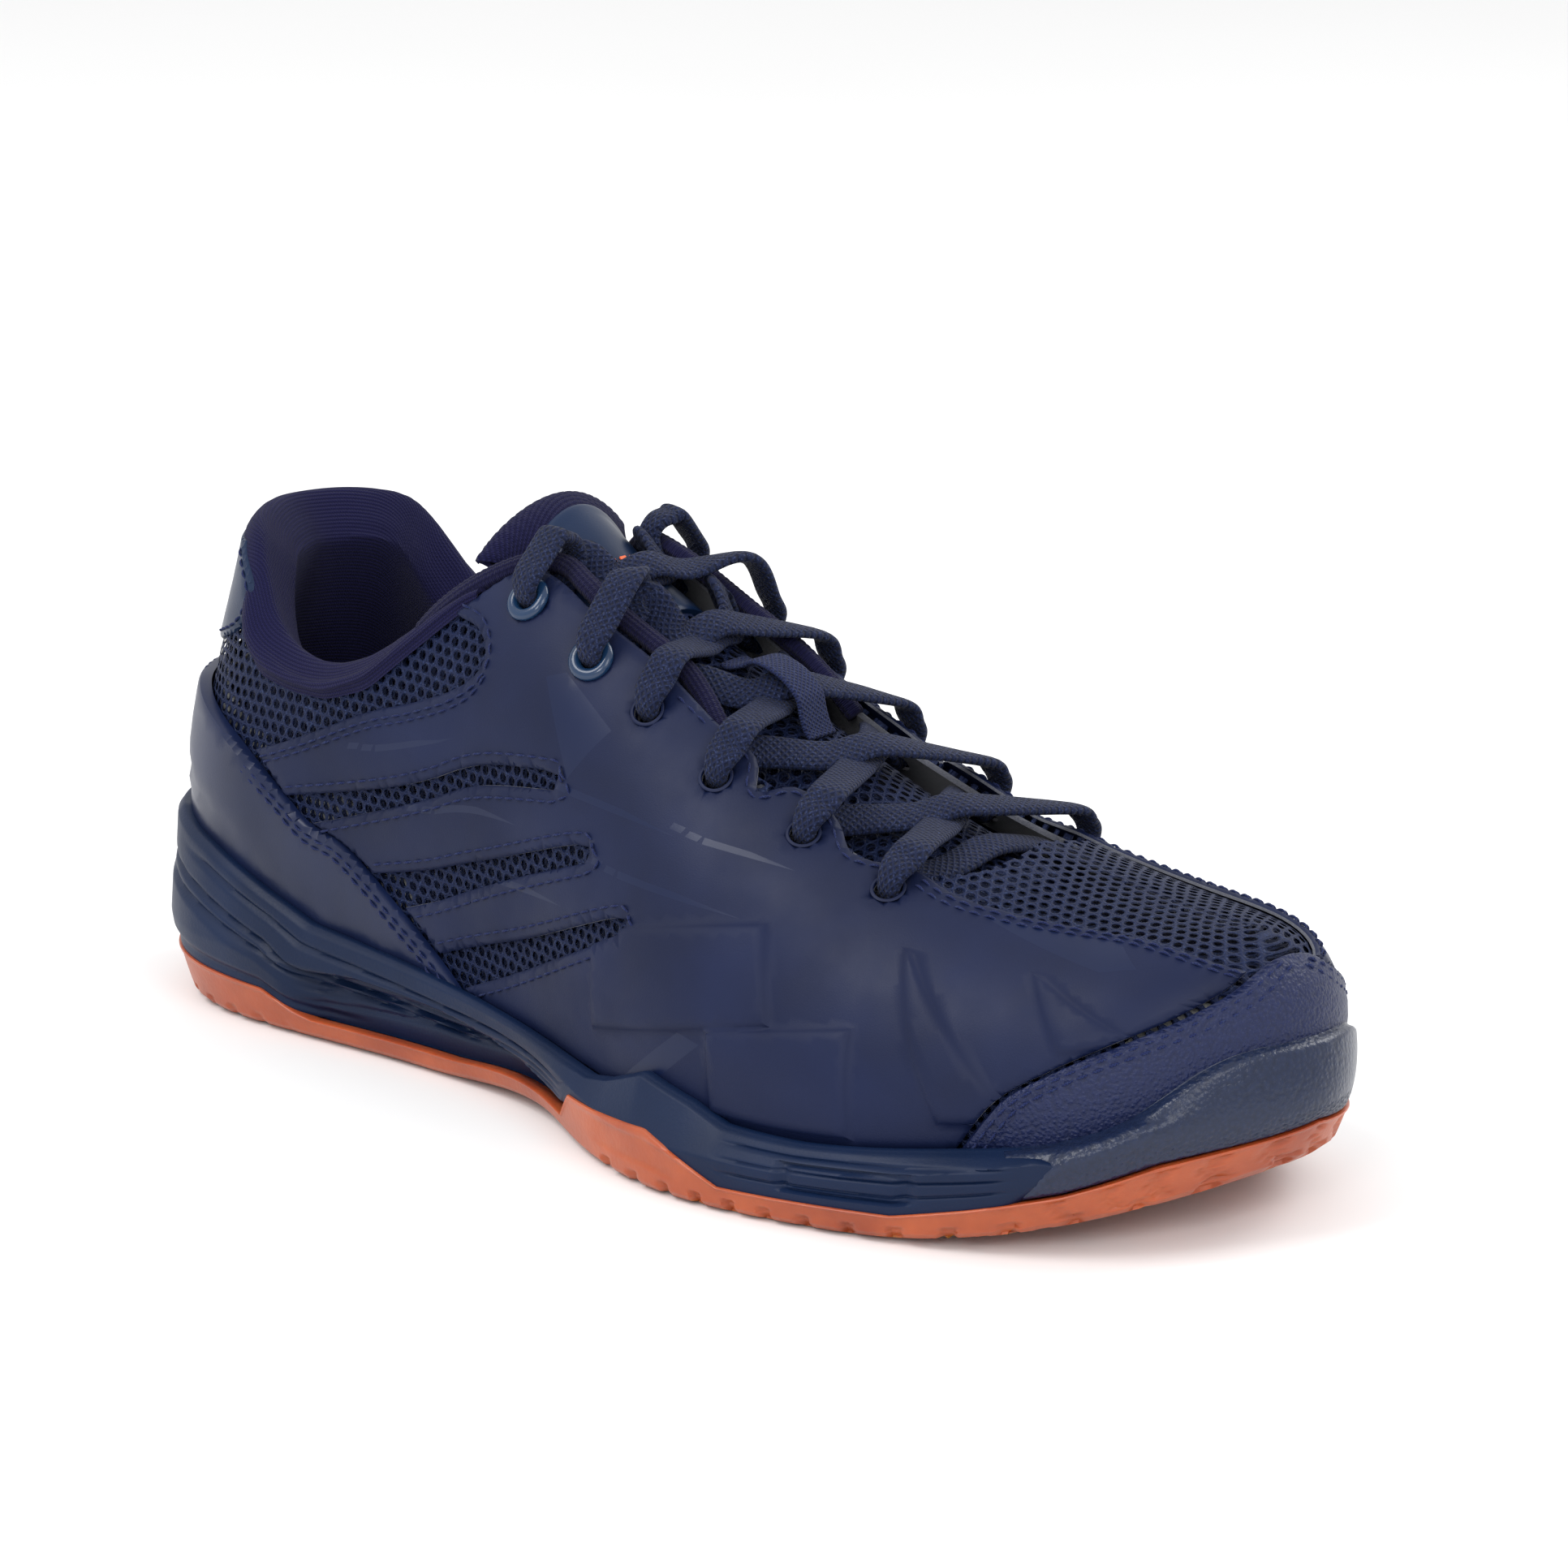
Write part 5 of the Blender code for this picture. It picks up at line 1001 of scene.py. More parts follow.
def insole():
    a = STATIONS[::2]
    row = upper_ring(a)
    away = outward(a)
    x_mid, y_mid = spine(a)
    beds = np.linspace(0.03, 0.97, 60)
    bed_x = (upper_ring(beds)[:, 0] + upper_ring(-beds)[:, 0]) / 2
    bed_z = (upper_ring(beds)[:, 2] + upper_ring(-beds)[:, 2]) / 2
    middle = np.stack([x_mid, y_mid, np.interp(x_mid, bed_x, bed_z)], -1)
    rim = row[:, :3] - away * 6.2
    rows = []
    profile = [(0.0, 5.3), (0.2, 5.3), (0.4, 5.3), (0.6, 5.4), (0.75, 5.6), (0.85, 6.0), (0.92, 6.5),
               (0.965, 7.0), (0.99, 7.2), (1.0, 6.6), (1.0, 5.0), (0.985, 1.6), (0.5, 1.6), (0.0, 1.6)]
    for share, height in profile:
        point = middle + (rim - middle) * share + [0, 0, height]
        point[:, 2] += 0.12 * noise(point[:, 0] * 0.16, point[:, 1] * 0.2)
        rows.append(point)
    points = np.stack(rows, 1)
    count = points.shape[1]
    faces = grid_faces(len(a), count, closed=True)
    uvs = np.stack([points[..., 0], points[..., 1]], -1).reshape(-1, 2)
    made = weld(make("sockliner", points.reshape(-1, 3), faces, INSOLE, uvs, body="insole_body",
                     slot="insole_cloth", replaces=["insole"]))


# ---- upper ----

QUARTER = {
    "cap": [(0.847, 0.0), (0.869, 0.138), (0.898, 0.225), (0.926, 0.31), (0.948, 0.40), (0.966, 0.52),
            (0.977, 0.63)],
    "vamp": [(0.977, 0.63), (0.91, 0.70), (0.828, 0.669), (0.79, 0.663), (0.757, 0.686)],
    "scallops": [(0.757, 0.686), (0.735, 0.664), (0.712, 0.652), (0.692, 0.70), (0.672, 0.727), (0.65, 0.722),
                 (0.634, 0.672), (0.618, 0.733), (0.58, 0.748)],
    "eyestay": [(0.58, 0.748), (0.53, 0.776), (0.47, 0.79), (0.43, 0.81), (0.398, 0.808), (0.378, 0.775),
                (0.352, 0.722)],
    "window": [(0.352, 0.722), (0.380, 0.675), (0.391, 0.625), (0.376, 0.580), (0.330, 0.55),
               (0.287, 0.525), (0.228, 0.463),
               (0.174, 0.406)],
    "slit_1": [(0.209, 0.31), (0.328, 0.383), (0.470, 0.490), (0.484, 0.488), (0.482, 0.466),
               (0.328, 0.342), (0.237, 0.258)],
    "slit_2": [(0.299, 0.182), (0.412, 0.271), (0.514, 0.399), (0.527, 0.398), (0.525, 0.377),
               (0.412, 0.223), (0.327, 0.128)],
    "slit_3": [(0.359, 0.058), (0.460, 0.167), (0.562, 0.312), (0.575, 0.312), (0.573, 0.291),
               (0.460, 0.108), (0.384, 0.008)],
}


def quarter_outline():
    runs_ = [
        [(0.384, 0.0), (0.847, 0.0)],
        *[QUARTER[key] for key in ("cap", "vamp", "scallops", "eyestay", "window")],
        [(0.174, 0.406), (0.209, 0.31)], QUARTER["slit_1"],
        [(0.237, 0.258), (0.267, 0.231), (0.299, 0.182)], QUARTER["slit_2"],
        [(0.327, 0.128), (0.359, 0.058)], QUARTER["slit_3"], [(0.384, 0.008), (0.384, 0.0)],
    ]
    return outline(*[lateral(run) for run in runs_])


def bar(a, h, corners, width_a=0.0028):
    """1 inside a four-cornered field of the upper, 0 outside, with soft sides."""
    points = np.stack([a, h], -1) * CHART
    loop = np.asarray(corners, float) * CHART
    flat = points.reshape(-1, 2)
    away = distance_to(flat, [loop])
    within = inside(flat, [loop])
    return (np.clip(np.where(within, away, -away) / (width_a * 300), -1, 1) * 0.5 + 0.5).reshape(np.shape(a))


EMBOSSED = [
    ([(-0.545, 0.275), (-0.690, 0.425), (-0.715, 0.235), (-0.552, 0.095)], 1.3),
    ([(-0.667, 0.188), (-0.776, 0.265), (-0.786, 0.03), (-0.676, 0.03)], 1.3),
    ([(-0.787, 0.468), (-0.793, 0.466), (-0.886, 0.078), (-0.838, 0.078)], 1.1),
    ([(-0.867, 0.484), (-0.873, 0.482), (-0.938, 0.325), (-0.902, 0.275)], 1.0),
]


def emboss(sign):
    def relief(a, h):
        mirrored_a = a if sign < 0 else -a
        total = 0.0
        for corners, amount in EMBOSSED:
            total = total + amount * bar(mirrored_a, h, corners)
        return total + 0.05 * noise(a * 60, h * 9)

    return relief


BANDS = [  # glossy printed stripes, as four-cornered fields
    [(-0.586, 0.03), (-0.612, 0.03), (-0.660, 0.155), (-0.640, 0.165)],
    [(-0.812, 0.628), (-0.905, 0.655), (-0.925, 0.56), (-0.905, 0.53)],
    [(-0.455, 0.645), (-0.470, 0.67), (-0.520, 0.62), (-0.495, 0.50)],
]
DASHES = [(0.30, 0.445, 0.075), (0.36, 0.335, 0.09), (0.42, 0.24, 0.085), (0.50, 0.475, 0.10),
          (0.56, 0.385, 0.11), (0.62, 0.52, 0.07)]


def upper_layers():
    for name, sign in (("lateral", -1), ("medial", 1)):
        loops = [quarter_outline(), *[circle_at(-a, h, 2.75, 28) for a, h in EYELETS]]
        creases = [field(grown(corners, d)) for corners, _ in EMBOSSED for d in (-0.84, 0.0, 0.84)]
        marks = [field(corners) for corners in BANDS]
        for a, h, length in DASHES:
            marks.append(field([(-a, h), (-a - length, h + 0.034), (-a - length * 0.5, h + 0.030),
                                (-a, h + 0.014)]))
            marks += [field([(-a + x, h - 0.002), (-a + x - 0.010, h), (-a + x - 0.012, h + 0.014),
                             (-a + x - 0.002, h + 0.012)])
                      for x in (0.014, 0.028)]
        if sign > 0:
            loops, creases, marks = mirrored(loops), mirrored(creases), mirrored(marks)
        panel(f"quarter_overlay_{name}", loops, (0.0, 1.2), OVERLAY, step=1.9, relief=emboss(sign),
              creases=creases, marks=marks,
              mark_look=BAND, cut=FELT, sharp=50, slot="coated_sheet", replaces=[f"overlay_{name}"])
        top = [*rows_of(MESH_TOP, 0.0, 0.42), *rows_of(THROAT, 0.43, 0.641, -0.012)]
        base = [outline(lateral([(0.641, 0.0), (0.0, 0.0)]), [(0.0, 0.0), (0.0, 0.91)], lateral(top),
                        lateral([top[-1], (0.641, 0.0)])),
                *[circle_at(-a, h, 2.9) for a, h in EYELETS[:4]]]
        base = base if sign < 0 else mirrored(base)
        panel(f"quarter_cloth_{name}", base, (-1.6, -0.5), MESH, step=4.5, edge=0, slot="open_mesh",
              replaces=[f"quarter_mesh_{name}"])
        upper = rows_of(THROAT, 0.40, 0.765, 0.012 if sign > 0 else -0.008)
        lower = [(a, h - 0.16) for a, h in reversed(upper)]
        felt = [outline(lateral(upper), lateral([upper[-1], lower[0]]), lateral(lower),
                        lateral([lower[-1], upper[0]])),
                *[circle_at(-a, h, 2.9) for a, h in EYELETS]]
        felt = felt if sign < 0 else mirrored(felt)
        panel(f"eyestay_felt_{name}", felt, (-3.0, -1.8), FELT, step=4.5, edge=0.4, slot="felt",
              replaces=[f"eyestay_backing_{name}"])
    throat = lateral([*rows_of(THROAT, 0.641, 0.74, -0.02), (0.765, 0.70)])
    throat_end = lateral([(0.765, 0.70), (0.785, 0.78), (0.79, 0.9), (0.785, 1.0)])
    corner = (0.641, 0.0), (0.641, float(table(THROAT, 0.641)) - 0.02)
    half = [lateral([(1.0, 0.0), corner[0]]), lateral(corner), throat, throat_end]
    far = other_side(half)
    loops = [outline(*half, [(-0.785, 1.0), (-1.0, 1.0)], [(-1.0, 1.0), (-1.215, 1.0)], *far)]
    holes = [circle_at(-a, h, 2.9) for a, h in EYELETS[4:]]
    loops += [*holes, *[hole[::-1] * [-1, 1] + [-2, 0] for hole in holes]]

    def creases(a, h):
        lift = np.where(h > 1, 2 - h, h)
        return 0.12 * noise(a * 70, lift * 10) * step_up(lift, 0.6, 0.75)

    panel("vamp_cloth", loops, (-1.6, -0.3), MESH_FINE, step=3.2, edge=0, relief=creases, uv="vamp",
          slot="open_mesh", replaces=["vamp_mesh"])
    near, far = lateral(SEAM), [(-2 + a, h) for a, h in reversed(SEAM)]

    def cap_shape(a, h):
        return 0.5 * step_up(h, 0.1, 0.4) * (1 - step_up(h, 0.5, 0.75)) + 0.1 * noise(a * 40, h * 12)

    panel("toe_cap_sheet", [outline(near, far, [(-1.150, 0.0), (-0.850, 0.0)])], (0.0, 1.6), CAP,
          relief=cap_shape, edge=1.0, slot="grained_sheet", replaces=["toe_cap"])
    edge = rows_of(COUNTER_TOP, 0.0, 0.382)
    near = [(-max(a - 0.003, 0), h) for a, h in edge]
    loops = [outline([(a, h) for a, h in reversed(near)], [(-a, h) for a, h in near],
                     [(0.378, 0.0), (-0.378, 0.0)])]

    def facets(a, h):
        size = np.abs(a)
        lean = h - 0.36 + size * 1.5
        raised = 0.7 * step_up(lean, 0.05, 0.09) * (1 - step_up(size, 0.16, 0.2))
        return raised + 0.45 * groove(h + size * 1.1, 0.34, 0.012) + 0.04 * noise(a * 50, h * 8)

    panel("counter_shell", loops, (0.0, 1.9), SHELL, relief=facets, edge=1.3, slot="gloss_shell",
          replaces=["heel_counter"])
    loops = [outline(lateral(PATCH_EDGE), [(-0.100, 0.915), (0.0, 0.945), (0.100, 0.915)],
                     list(reversed(PATCH_EDGE)),
                     [(0.085, 0.640), (0.0, 0.630), (-0.085, 0.640)])]
    panel("heel_pull_patch", loops, (-0.9, 0.35), PATCH, edge=0.9, slot="gloss_shell",
          replaces=["heel_patch"])
    top = [(0.372, 0.73), (0.396, 0.71), (0.45, 0.64), (0.55, 0.60), (0.65, 0.56), (0.74, 0.54),
           (0.80, 0.58), (0.825, 0.72), (0.82, 1.0)]
    half = [lateral([(1.0, 0.03), (0.33, 0.03)]), lateral([(0.33, 0.03), (0.345, 0.69)]),
            lateral([(0.345, 0.69), (0.372, 0.73)]), lateral(top)]
    far = other_side(half)
    ridge = [[(-0.82, 1.0), (-1.0, 1.0)], [(-1.0, 1.0), (-1.18, 1.0)]]
    panel("lining_cloth_vamp", [outline(*half, *ridge, *far)], (-4.4, -3.6), LINING, step=4.5, edge=0.3,
          slot="lining", replaces=["vamp_lining"])


def stitches(name, curves, depth, pitch=3.1, length=2.3, radius=0.27):
    """Runs of thread along lines of the upper. Each stitch is a small cord that dips in at its ends."""
    points, faces, uvs = [], [], []
    sides_, rings_ = 6, 7
    for curve in curves:
        curve = np.asarray(smooth(curve, 0.004))
        line, up = skin(curve[:, 0], curve[:, 1], depth), normal(curve[:, 0], curve[:, 1])
        run = lengths(line)
        for start in np.arange(0.6, run[-1] - length, pitch):
            where = start + np.linspace(0, length, rings_)
            path = np.stack([np.interp(where, run, line[:, k]) for k in range(3)], -1)
            n = unit(np.stack([np.interp(where, run, up[:, k]) for k in range(3)], -1))
            arc = np.sin(np.linspace(0, np.pi, rings_))
            path = path + n * (arc * 0.42 - 0.18)[:, None]
            tangent = unit(np.gradient(path, axis=0))
            across = unit(np.cross(tangent, n))
            over = np.cross(across, tangent)
            first = len(points)
            for r in range(rings_):
                swell = radius * (0.55 + 0.45 * arc[r])
                for k in range(sides_):
                    turn = 2 * math.pi * k / sides_
                    points.append(path[r] + swell * (across[r] * math.cos(turn) + over[r] * math.sin(turn)))
                    uvs.append((where[r], k * 0.25))
            faces += [tuple(first + i for i in f) for f in grid_faces(rings_, sides_, round_=True)]
            faces.append(tuple(first + k for k in range(sides_))[::-1])
            faces.append(tuple(first + (rings_ - 1) * sides_ + k for k in range(sides_)))
    make(name, points, faces, THREAD, uvs, slot="coated_sheet", sharp=0)


def inset(run, amount):
    """A line beside another one, that many mm towards its left."""
    line = np.asarray(smooth(run, 0.006)) * CHART
    tangent = unit(np.gradient(line, axis=0))
    return (line + np.stack([-tangent[:, 1], tangent[:, 0]], -1) * amount) / CHART


def all_stitches():
    for name, sign in (("lateral", -1), ("medial", 1)):
        def put(run, amount):
            line = inset(lateral(run), amount)
            return line if sign < 0 else line * [-1, 1]

        seam = [(0.150, 0.432), (0.208, 0.312), (0.235, 0.256), (0.267, 0.231), (0.297, 0.175),
                (0.323, 0.119), (0.374, 0.02)]
        counter = [put(seam, 2.0), put(seam, 3.6)]
        stitches(f"counter_stitches_{name}", counter, 2.05)
        lines = [put(QUARTER[key], -1.9) for key in ("slit_1", "slit_2", "slit_3")]
        lines += [put(QUARTER["window"], -1.9), put(QUARTER["window"][2:], -3.2),
                  put(QUARTER["scallops"], -1.7), put(QUARTER["vamp"], -1.8), put(QUARTER["vamp"], -3.6)]
        stitches(f"overlay_stitches_{name}", lines, 1.3)
        stitches(f"eyestay_stitches_{name}", [put([(0.58, 0.748), (0.545, 0.765)], -1.8)], 1.3)
        cap = [put(SEAM[:-1], 1.6), put(SEAM[:-1], 3.4)]
        stitches(f"cap_stitches_{name}", cap, 1.7, pitch=3.0, radius=0.34)
        stitches(f"patch_stitches_{name}", [put(PATCH_EDGE, -1.7)], 0.4, pitch=2.8)


def padding(a, h):
    high = step_up(h, 0.30, 0.66) * (0.35 + 0.65
                                     * step_up(soft_table(COLLAR_TOP, a, 0.03) + 0.06 - h, 0.0, 0.16))
    return high * soft_table([(0, 6.5), (0.12, 7.0), (0.22, 4.5), (0.36, 2.0)], a, 0.04)


def resample(points, count):
    """Even points along a smooth curve through the given ones (N x k)."""
    points = np.asarray(points, float)
    shares = np.linspace(0, 1, 15)[1:]
    line = np.array([points[0], *[between(span, t) for span in spans(points) for t in shares]])
    run = lengths(line[:, :3])
    where = np.linspace(0, run[-1], count)
    return np.stack([np.interp(where, run, line[:, k]) for k in range(line.shape[1])], -1)


def collar():
    """The padded knit collar: outer flap, rolled top line, and lining down to the insole."""
    stations, count = np.linspace(-0.365, 0.365, 420), 90
    outer, uv = [], []
    for a in stations:
        top, edge = float(soft_table(COLLAR_TOP, a, 0.03)), float(soft_table(KNIT_EDGE, a, 0.014)) - 0.005
        plump = float(soft_table([(0, -2.6), (0.118, -2.4), (0.15, 3.0), (0.22, 2.0), (0.30, 1.2),
                                  (0.36, 0.8)], a, 0.012))
        roll = np.interp(abs(a), [0, 0.12, 0.22, 0.36], [1.0, 1.0, 0.7, 0.35])
        outer_lift = np.interp(abs(a), [0, 0.118, 0.15], [-1.9, -1.7, 0.0])
        control = [(edge - 0.006, 0.2 + outer_lift), (edge + 0.012, 0.95 + outer_lift),
                   ((edge * 2 + top) / 3, 0.9 + plump * 0.7), ((edge + top * 2) / 3, 0.8 + plump * 0.6),
                   (top - 0.012, 0.3 + 0.3 * outer_lift), (top + 0.004 + 0.010 * roll, -2.0 - 0.9 * roll)]
        path = [skin(a, min(h, 0.995), d) for h, d in control]
        up = surface(a, min(top, 0.99)) - surface(a, min(top, 0.99) - 0.02)
        path[-1] = path[-1] + unit(up) * (0.6 + 0.8 * roll)
        deep = padding(a, top)
        path.append(skin(a, top - 0.012, -4.2 - deep * 0.85))
        for h in (top - 0.05, top - 0.10, 0.5, 0.40, 0.25, 0.12, 0.035):
            if h < top - 0.045:
                path.append(skin(a, h, -4.6 - padding(a, h)))
        line, step = resample(path, count), np.arange(count)
        lift = 0.28 * noise(a * 34, step * 0.11, seed=2.0) + 0.16 * noise(a * 90, step * 0.3, seed=5.0)
        tangent = unit(np.gradient(line, axis=0))
        side_ = unit(np.cross(tangent, surface(a + 0.004, 0.4) - surface(a - 0.004, 0.4)))
        outer.append(line + side_ * lift[:, None])
        run = lengths(line)
        uv.append(np.stack([np.full(count, 300 * a), run], -1))
    outer = np.stack(outer)
    n = unit(np.cross(np.gradient(outer, axis=0), np.gradient(outer, axis=1)))
    if np.sum(n[:, 8] * (outer[:, 8] - [60, 0, 70.0])) < 0:  # away from the middle of the shoe's opening
        n = -n
    made = grid_shell("collar_pad", outer, outer - n * KNIT_SHEET, KNIT, np.stack(uv), slot="knit",
                      replaces=["collar_lining", "collar_foam"])


def tongue(x, across, depth=0.0):
    x, across = np.broadcast_arrays(np.asarray(x, float), np.asarray(across, float))
    knots = [r[0] for r in TONGUE_ROWS]
    height, middle, half, hang = (np.interp(x, knots, [r[i] for r in TONGUE_ROWS]) for i in (1, 2, 3, 4))
    before, after = (np.interp(x + d, knots, [r[1] for r in TONGUE_ROWS]) for d in (-3, 3))
    slope = np.arctan2(before - after, 6)
    tilt = np.arctan2(2 * hang * np.abs(across), half)
    down = np.stack([-np.sin(slope) * np.cos(tilt), -np.sin(tilt) * np.sign(across),
                     -np.cos(slope) * np.cos(tilt)], -1)
    return np.stack([x, middle + half * across, height - hang * across**2],
                    -1) + down * np.asarray(depth)[..., None]


def cut_back(x, across):
    """Station of the tilting part, whose sides stop short near its lower edge so that they swing clear."""
    return x - 3.0 * np.clip((x - 112) / (TONGUE_SEAM - 112), 0, 1) * np.asarray(across) ** 2


def tongue_pieces():
    across = np.linspace(-1, 1, 61)
    rows, uv = [], []
    for w in across:
        full = math.sqrt(max(0.0, 1 - abs(w) ** 5))
        control = [tongue(x, w, -0.25 + 1.4 * (1 - full)) for x in (113.2, 109, 105, 101)]
        control += [tongue(98.2, w, 0.8 + 1.2 * (1 - full)), tongue(96.6, w, 3.4),
                    tongue(98.3, w, 3.4 + 3.2 * full)]
        control += [tongue(cut_back(x, w), w * 0.98, 2.6 + 4.8 * full)
                    for x in (103, 110, 118, 126, TONGUE_SEAM)]
        line = resample(control, 90)
        run = lengths(line)
        rows.append(line)
        uv.append(np.stack([np.full(90, w * 24), run], -1))
    outer = np.stack(rows)
    n = unit(np.cross(np.gradient(outer, axis=0), np.gradient(outer, axis=1)))
    if n[30, 5, 2] < 0:
        n = -n
    ribs = 0.16 * np.abs(np.sin(across * 24 * math.pi / 2.4))[:,
            None] * (1 - step_up(np.arange(90), 44, 50))[None]
    soft = 0.25 * noise(across[:, None] * 4, np.arange(90)[None] * 0.16)
    outer = outer + n * (ribs + soft)[..., None]
    made = grid_shell("tongue_sleeve", outer, outer - n * KNIT_SHEET, KNIT_TONGUE, np.stack(uv),
                      body="tongue", slot="knit",
                      replaces=["tongue_knit", "tongue_foam"])
    x = np.linspace(PATCH_START, TONGUE_SEAM, 64)
    xx, ww = np.meshgrid(x, across, indexing="ij")
    xx = cut_back(xx, ww)
    edge = np.minimum((xx - PATCH_START) / 1.6, (TONGUE_SEAM - xx) / 1.2 + 0.2)
    edge = np.clip(np.minimum(edge, (1 - np.abs(ww)) * 12), 0, 1)
    lift = 0.15 + 0.85 * np.sqrt(1 - (1 - edge) ** 2) + 0.15 * noise(xx * 0.4, ww * 3)
    patch_uv = np.stack([xx, ww * 22], -1)
    grid_shell("tongue_film", tongue(xx, ww, -lift), tongue(xx, ww, 0.9 + 0 * xx), PATCH, patch_uv,
               body="tongue", slot="coated_sheet",
               replaces=["tongue_patch"])
    marks, faces = [], []
    box = (0, 1, 2, 3), (7, 6, 5, 4), (0, 4, 5, 1), (1, 5, 6, 2), (2, 6, 7, 3), (3, 7, 4, 0)
    for k in range(3):  # three plain leaning bars
        x0, w0, x1, w1 = 117.0, -0.16 + k * 0.12, 124.0, -0.24 + k * 0.12
        corners = [(x0, w0), (x0, w0 + 0.07), (x1, w1 + 0.07), (x1, w1)]
        first = len(marks)
        marks += [tongue(cx, cw, depth) for depth in (-1.3, -0.7) for cx, cw in corners]
        faces += [tuple(first + j for j in f) for f in box]
    weld(make("tongue_mark", marks, faces, MARK, body="tongue", slot="coated_sheet"))
    x = np.linspace(TONGUE_SEAM + 0.3, 218, 150)
    xx, ww = np.meshgrid(x, across, indexing="ij")
    puff = 0.5 * noise(xx * 0.12, ww * 3, seed=1.0)
    uv = np.stack([xx, ww * 22], -1)
    grid_shell("tongue_cloth", tongue(xx, ww, -puff * 0.4), tongue(xx, ww, 1.0 + 0 * xx), MESH_FINE, uv,
               body="tongue", slot="open_mesh", replaces=["tongue_mesh"])
    made = grid_shell("tongue_lining", tongue(xx, ww * 0.97, 1.5 + 0 * xx),
                      tongue(xx, ww * 0.97, 4.8 + 0 * xx), LINING, uv, body="tongue", slot="foam",
                      replaces=["tongue_liner"])
    band = [(146.0, 0.4), (147.6, 1.0), (149.6, 3.2), (152, 6.2), (157, 7.4), (162, 6.2), (164.4, 3.2),
            (166.4, 1.0), (168, 0.4)]
    route = resample([tongue(x_, -0.02, -lift_) for x_, lift_ in band], 60)
    sweep("webbing_loop", route, np.tile([[0.4, 0, 0.92]], (60, 1)), 8.0, 1.1, WEB, slot="webbing",
          replaces=["lace_loop"], power=4.0)


# ---- cords ----


def sweep(name, path, hints, width, thick, material, sides=18, power=2.6, narrow=None, swell=None, **more):
    """Flat cord along a path. Each hint is the way its flat face looks there, or zero where it may turn."""
    path, hints = np.asarray(path, float), np.asarray(hints, float)
    tangent = unit(np.gradient(path, axis=0))
    faces_ = [unit(hints[0] - tangent[0] * (hints[0] @ tangent[0]))]
    for i in range(1, len(path)):
        face = faces_[-1] - tangent[i] * (faces_[-1] @ tangent[i])
        pull = hints[i] if face @ hints[i] >= 0 else -hints[i]
        face = unit(face) + 0.5 * pull * np.linalg.norm(hints[i])
        faces_.append(unit(face - tangent[i] * (face @ tangent[i])))
    faces_ = np.array(faces_)
    for _ in range(6):
        faces_[1:-1] = unit(faces_[:-2] + 2 * faces_[1:-1] + faces_[2:])
    faces_ = unit(faces_ - tangent * np.sum(faces_ * tangent, -1, keepdims=True))
    across = np.cross(tangent, faces_)
    strength = np.clip(np.linalg.norm(hints, axis=1), 0, 1)
    for _ in range(10):
        strength[1:-1] = (strength[:-2] + 2 * strength[1:-1] + strength[2:]) / 4
    wide = np.full(len(path), width) if narrow is None else narrow[0] + (width - narrow[0]) * strength
    tall = np.full(len(path), thick) if narrow is None else narrow[1] + (thick - narrow[1]) * strength
    run = lengths(path)
    turns = 2 * np.pi * np.arange(sides) / sides
    c, s = np.cos(turns), np.sin(turns)
    c, s = np.sign(c) * np.abs(c) ** (2 / power), np.sign(s) * np.abs(s) ** (2 / power)
    points = path[:, None] + across[:, None] * (wide[:, None] / 2 * c)[..., None]
    points = points + faces_[:, None] * (tall[:, None] / 2 * s)[..., None]
    if swell is not None:
        points = points + (across[:, None] * c[None, :, None] + faces_[:, None]
                           * s[None, :, None]) * swell(run)[:, None, None]
    faces = grid_faces(len(path), sides, round_=True)
    faces = [f[::-1] for f in faces]
    faces += [tuple(range(sides)), tuple((len(path) - 1) * sides + k for k in range(sides))[::-1]]
    uvs = np.stack([np.repeat(run, sides), np.tile(c * width / 2, len(path))], -1)
    weld(make(name, points.reshape(-1, 3), faces, material, uvs, sharp=0, **more), 1e-7)


def eyelet_frame(row, sign):
    a, h = sign * EYELETS[row][0], EYELETS[row][1]
    return surface(a, h), normal(a, h), unit(surface(a, h + 0.02) - surface(a, h - 0.02))


def eyelet_stops(row, sign, outwards):
    at, n, up = eyelet_frame(row, sign)
    a = EYELETS[row][0]
    edge = float(np.linalg.norm(surface(sign * a, 0.875 if row < RINGED else table(THROAT, a) + 0.02) - at))
    rise = 4.6 if row < RINGED else 3.6
    stops = [
        (at + up * (edge + 0.5) - n * 5.2, n), (at + up * 4.5 - n * 5.2, n),
        (at + up * 0.8 - n * 4.8, 0.3 * n),
        (at - n * 3.4, 0 * n), (at - n * 1.0, 0 * n), (at + n * (rise - 2.6), 0 * n),
        (at + up * 0.9 + n * (rise - 0.9), 0.25 * n),
        (at + up * 3.2 + n * (rise + 0.2), 0.8 * n), (at + up * 6.0 + n * (rise - 0.2), n),
        (at + up * (edge + 1.2) + n * 3.4, n),
    ]
    return stops if outwards else stops[::-1]


def crossing(row, sign, over):
    x0, x1 = eyelet_frame(row, sign)[0][0], eyelet_frame(row + 1, -sign)[0][0]
    stops = []
    for share, height in ((0.36, 2.7), (0.5, 4.6 if over else 1.7), (0.62, 5.6 if over else 3.4)):
        x = x0 + (x1 - x0) * share
        w = sign * (1 - 2 * share)
        stops.append((tongue(x, w, -height), unit(tongue(x, w, -1) - tongue(x, w, 0))))
    return stops


def lace_end(sign):
    at, n, up = eyelet_frame(0, sign)
    return [
        (at + up * 13.2 + n * 2.6, 0.7 * n), (at + up * 15.0 - n * 0.8, 0.4 * unit(up + n)),
        (at + up * 13.2 - n * 4.6, -0.5 * n),
        (at + up * 8.0 - n * 5.2, -1.0 * n), (at + up * 3.5 - n * 5.1 + np.array([-3.0, 0, 0]), -1.0 * n),
    ]


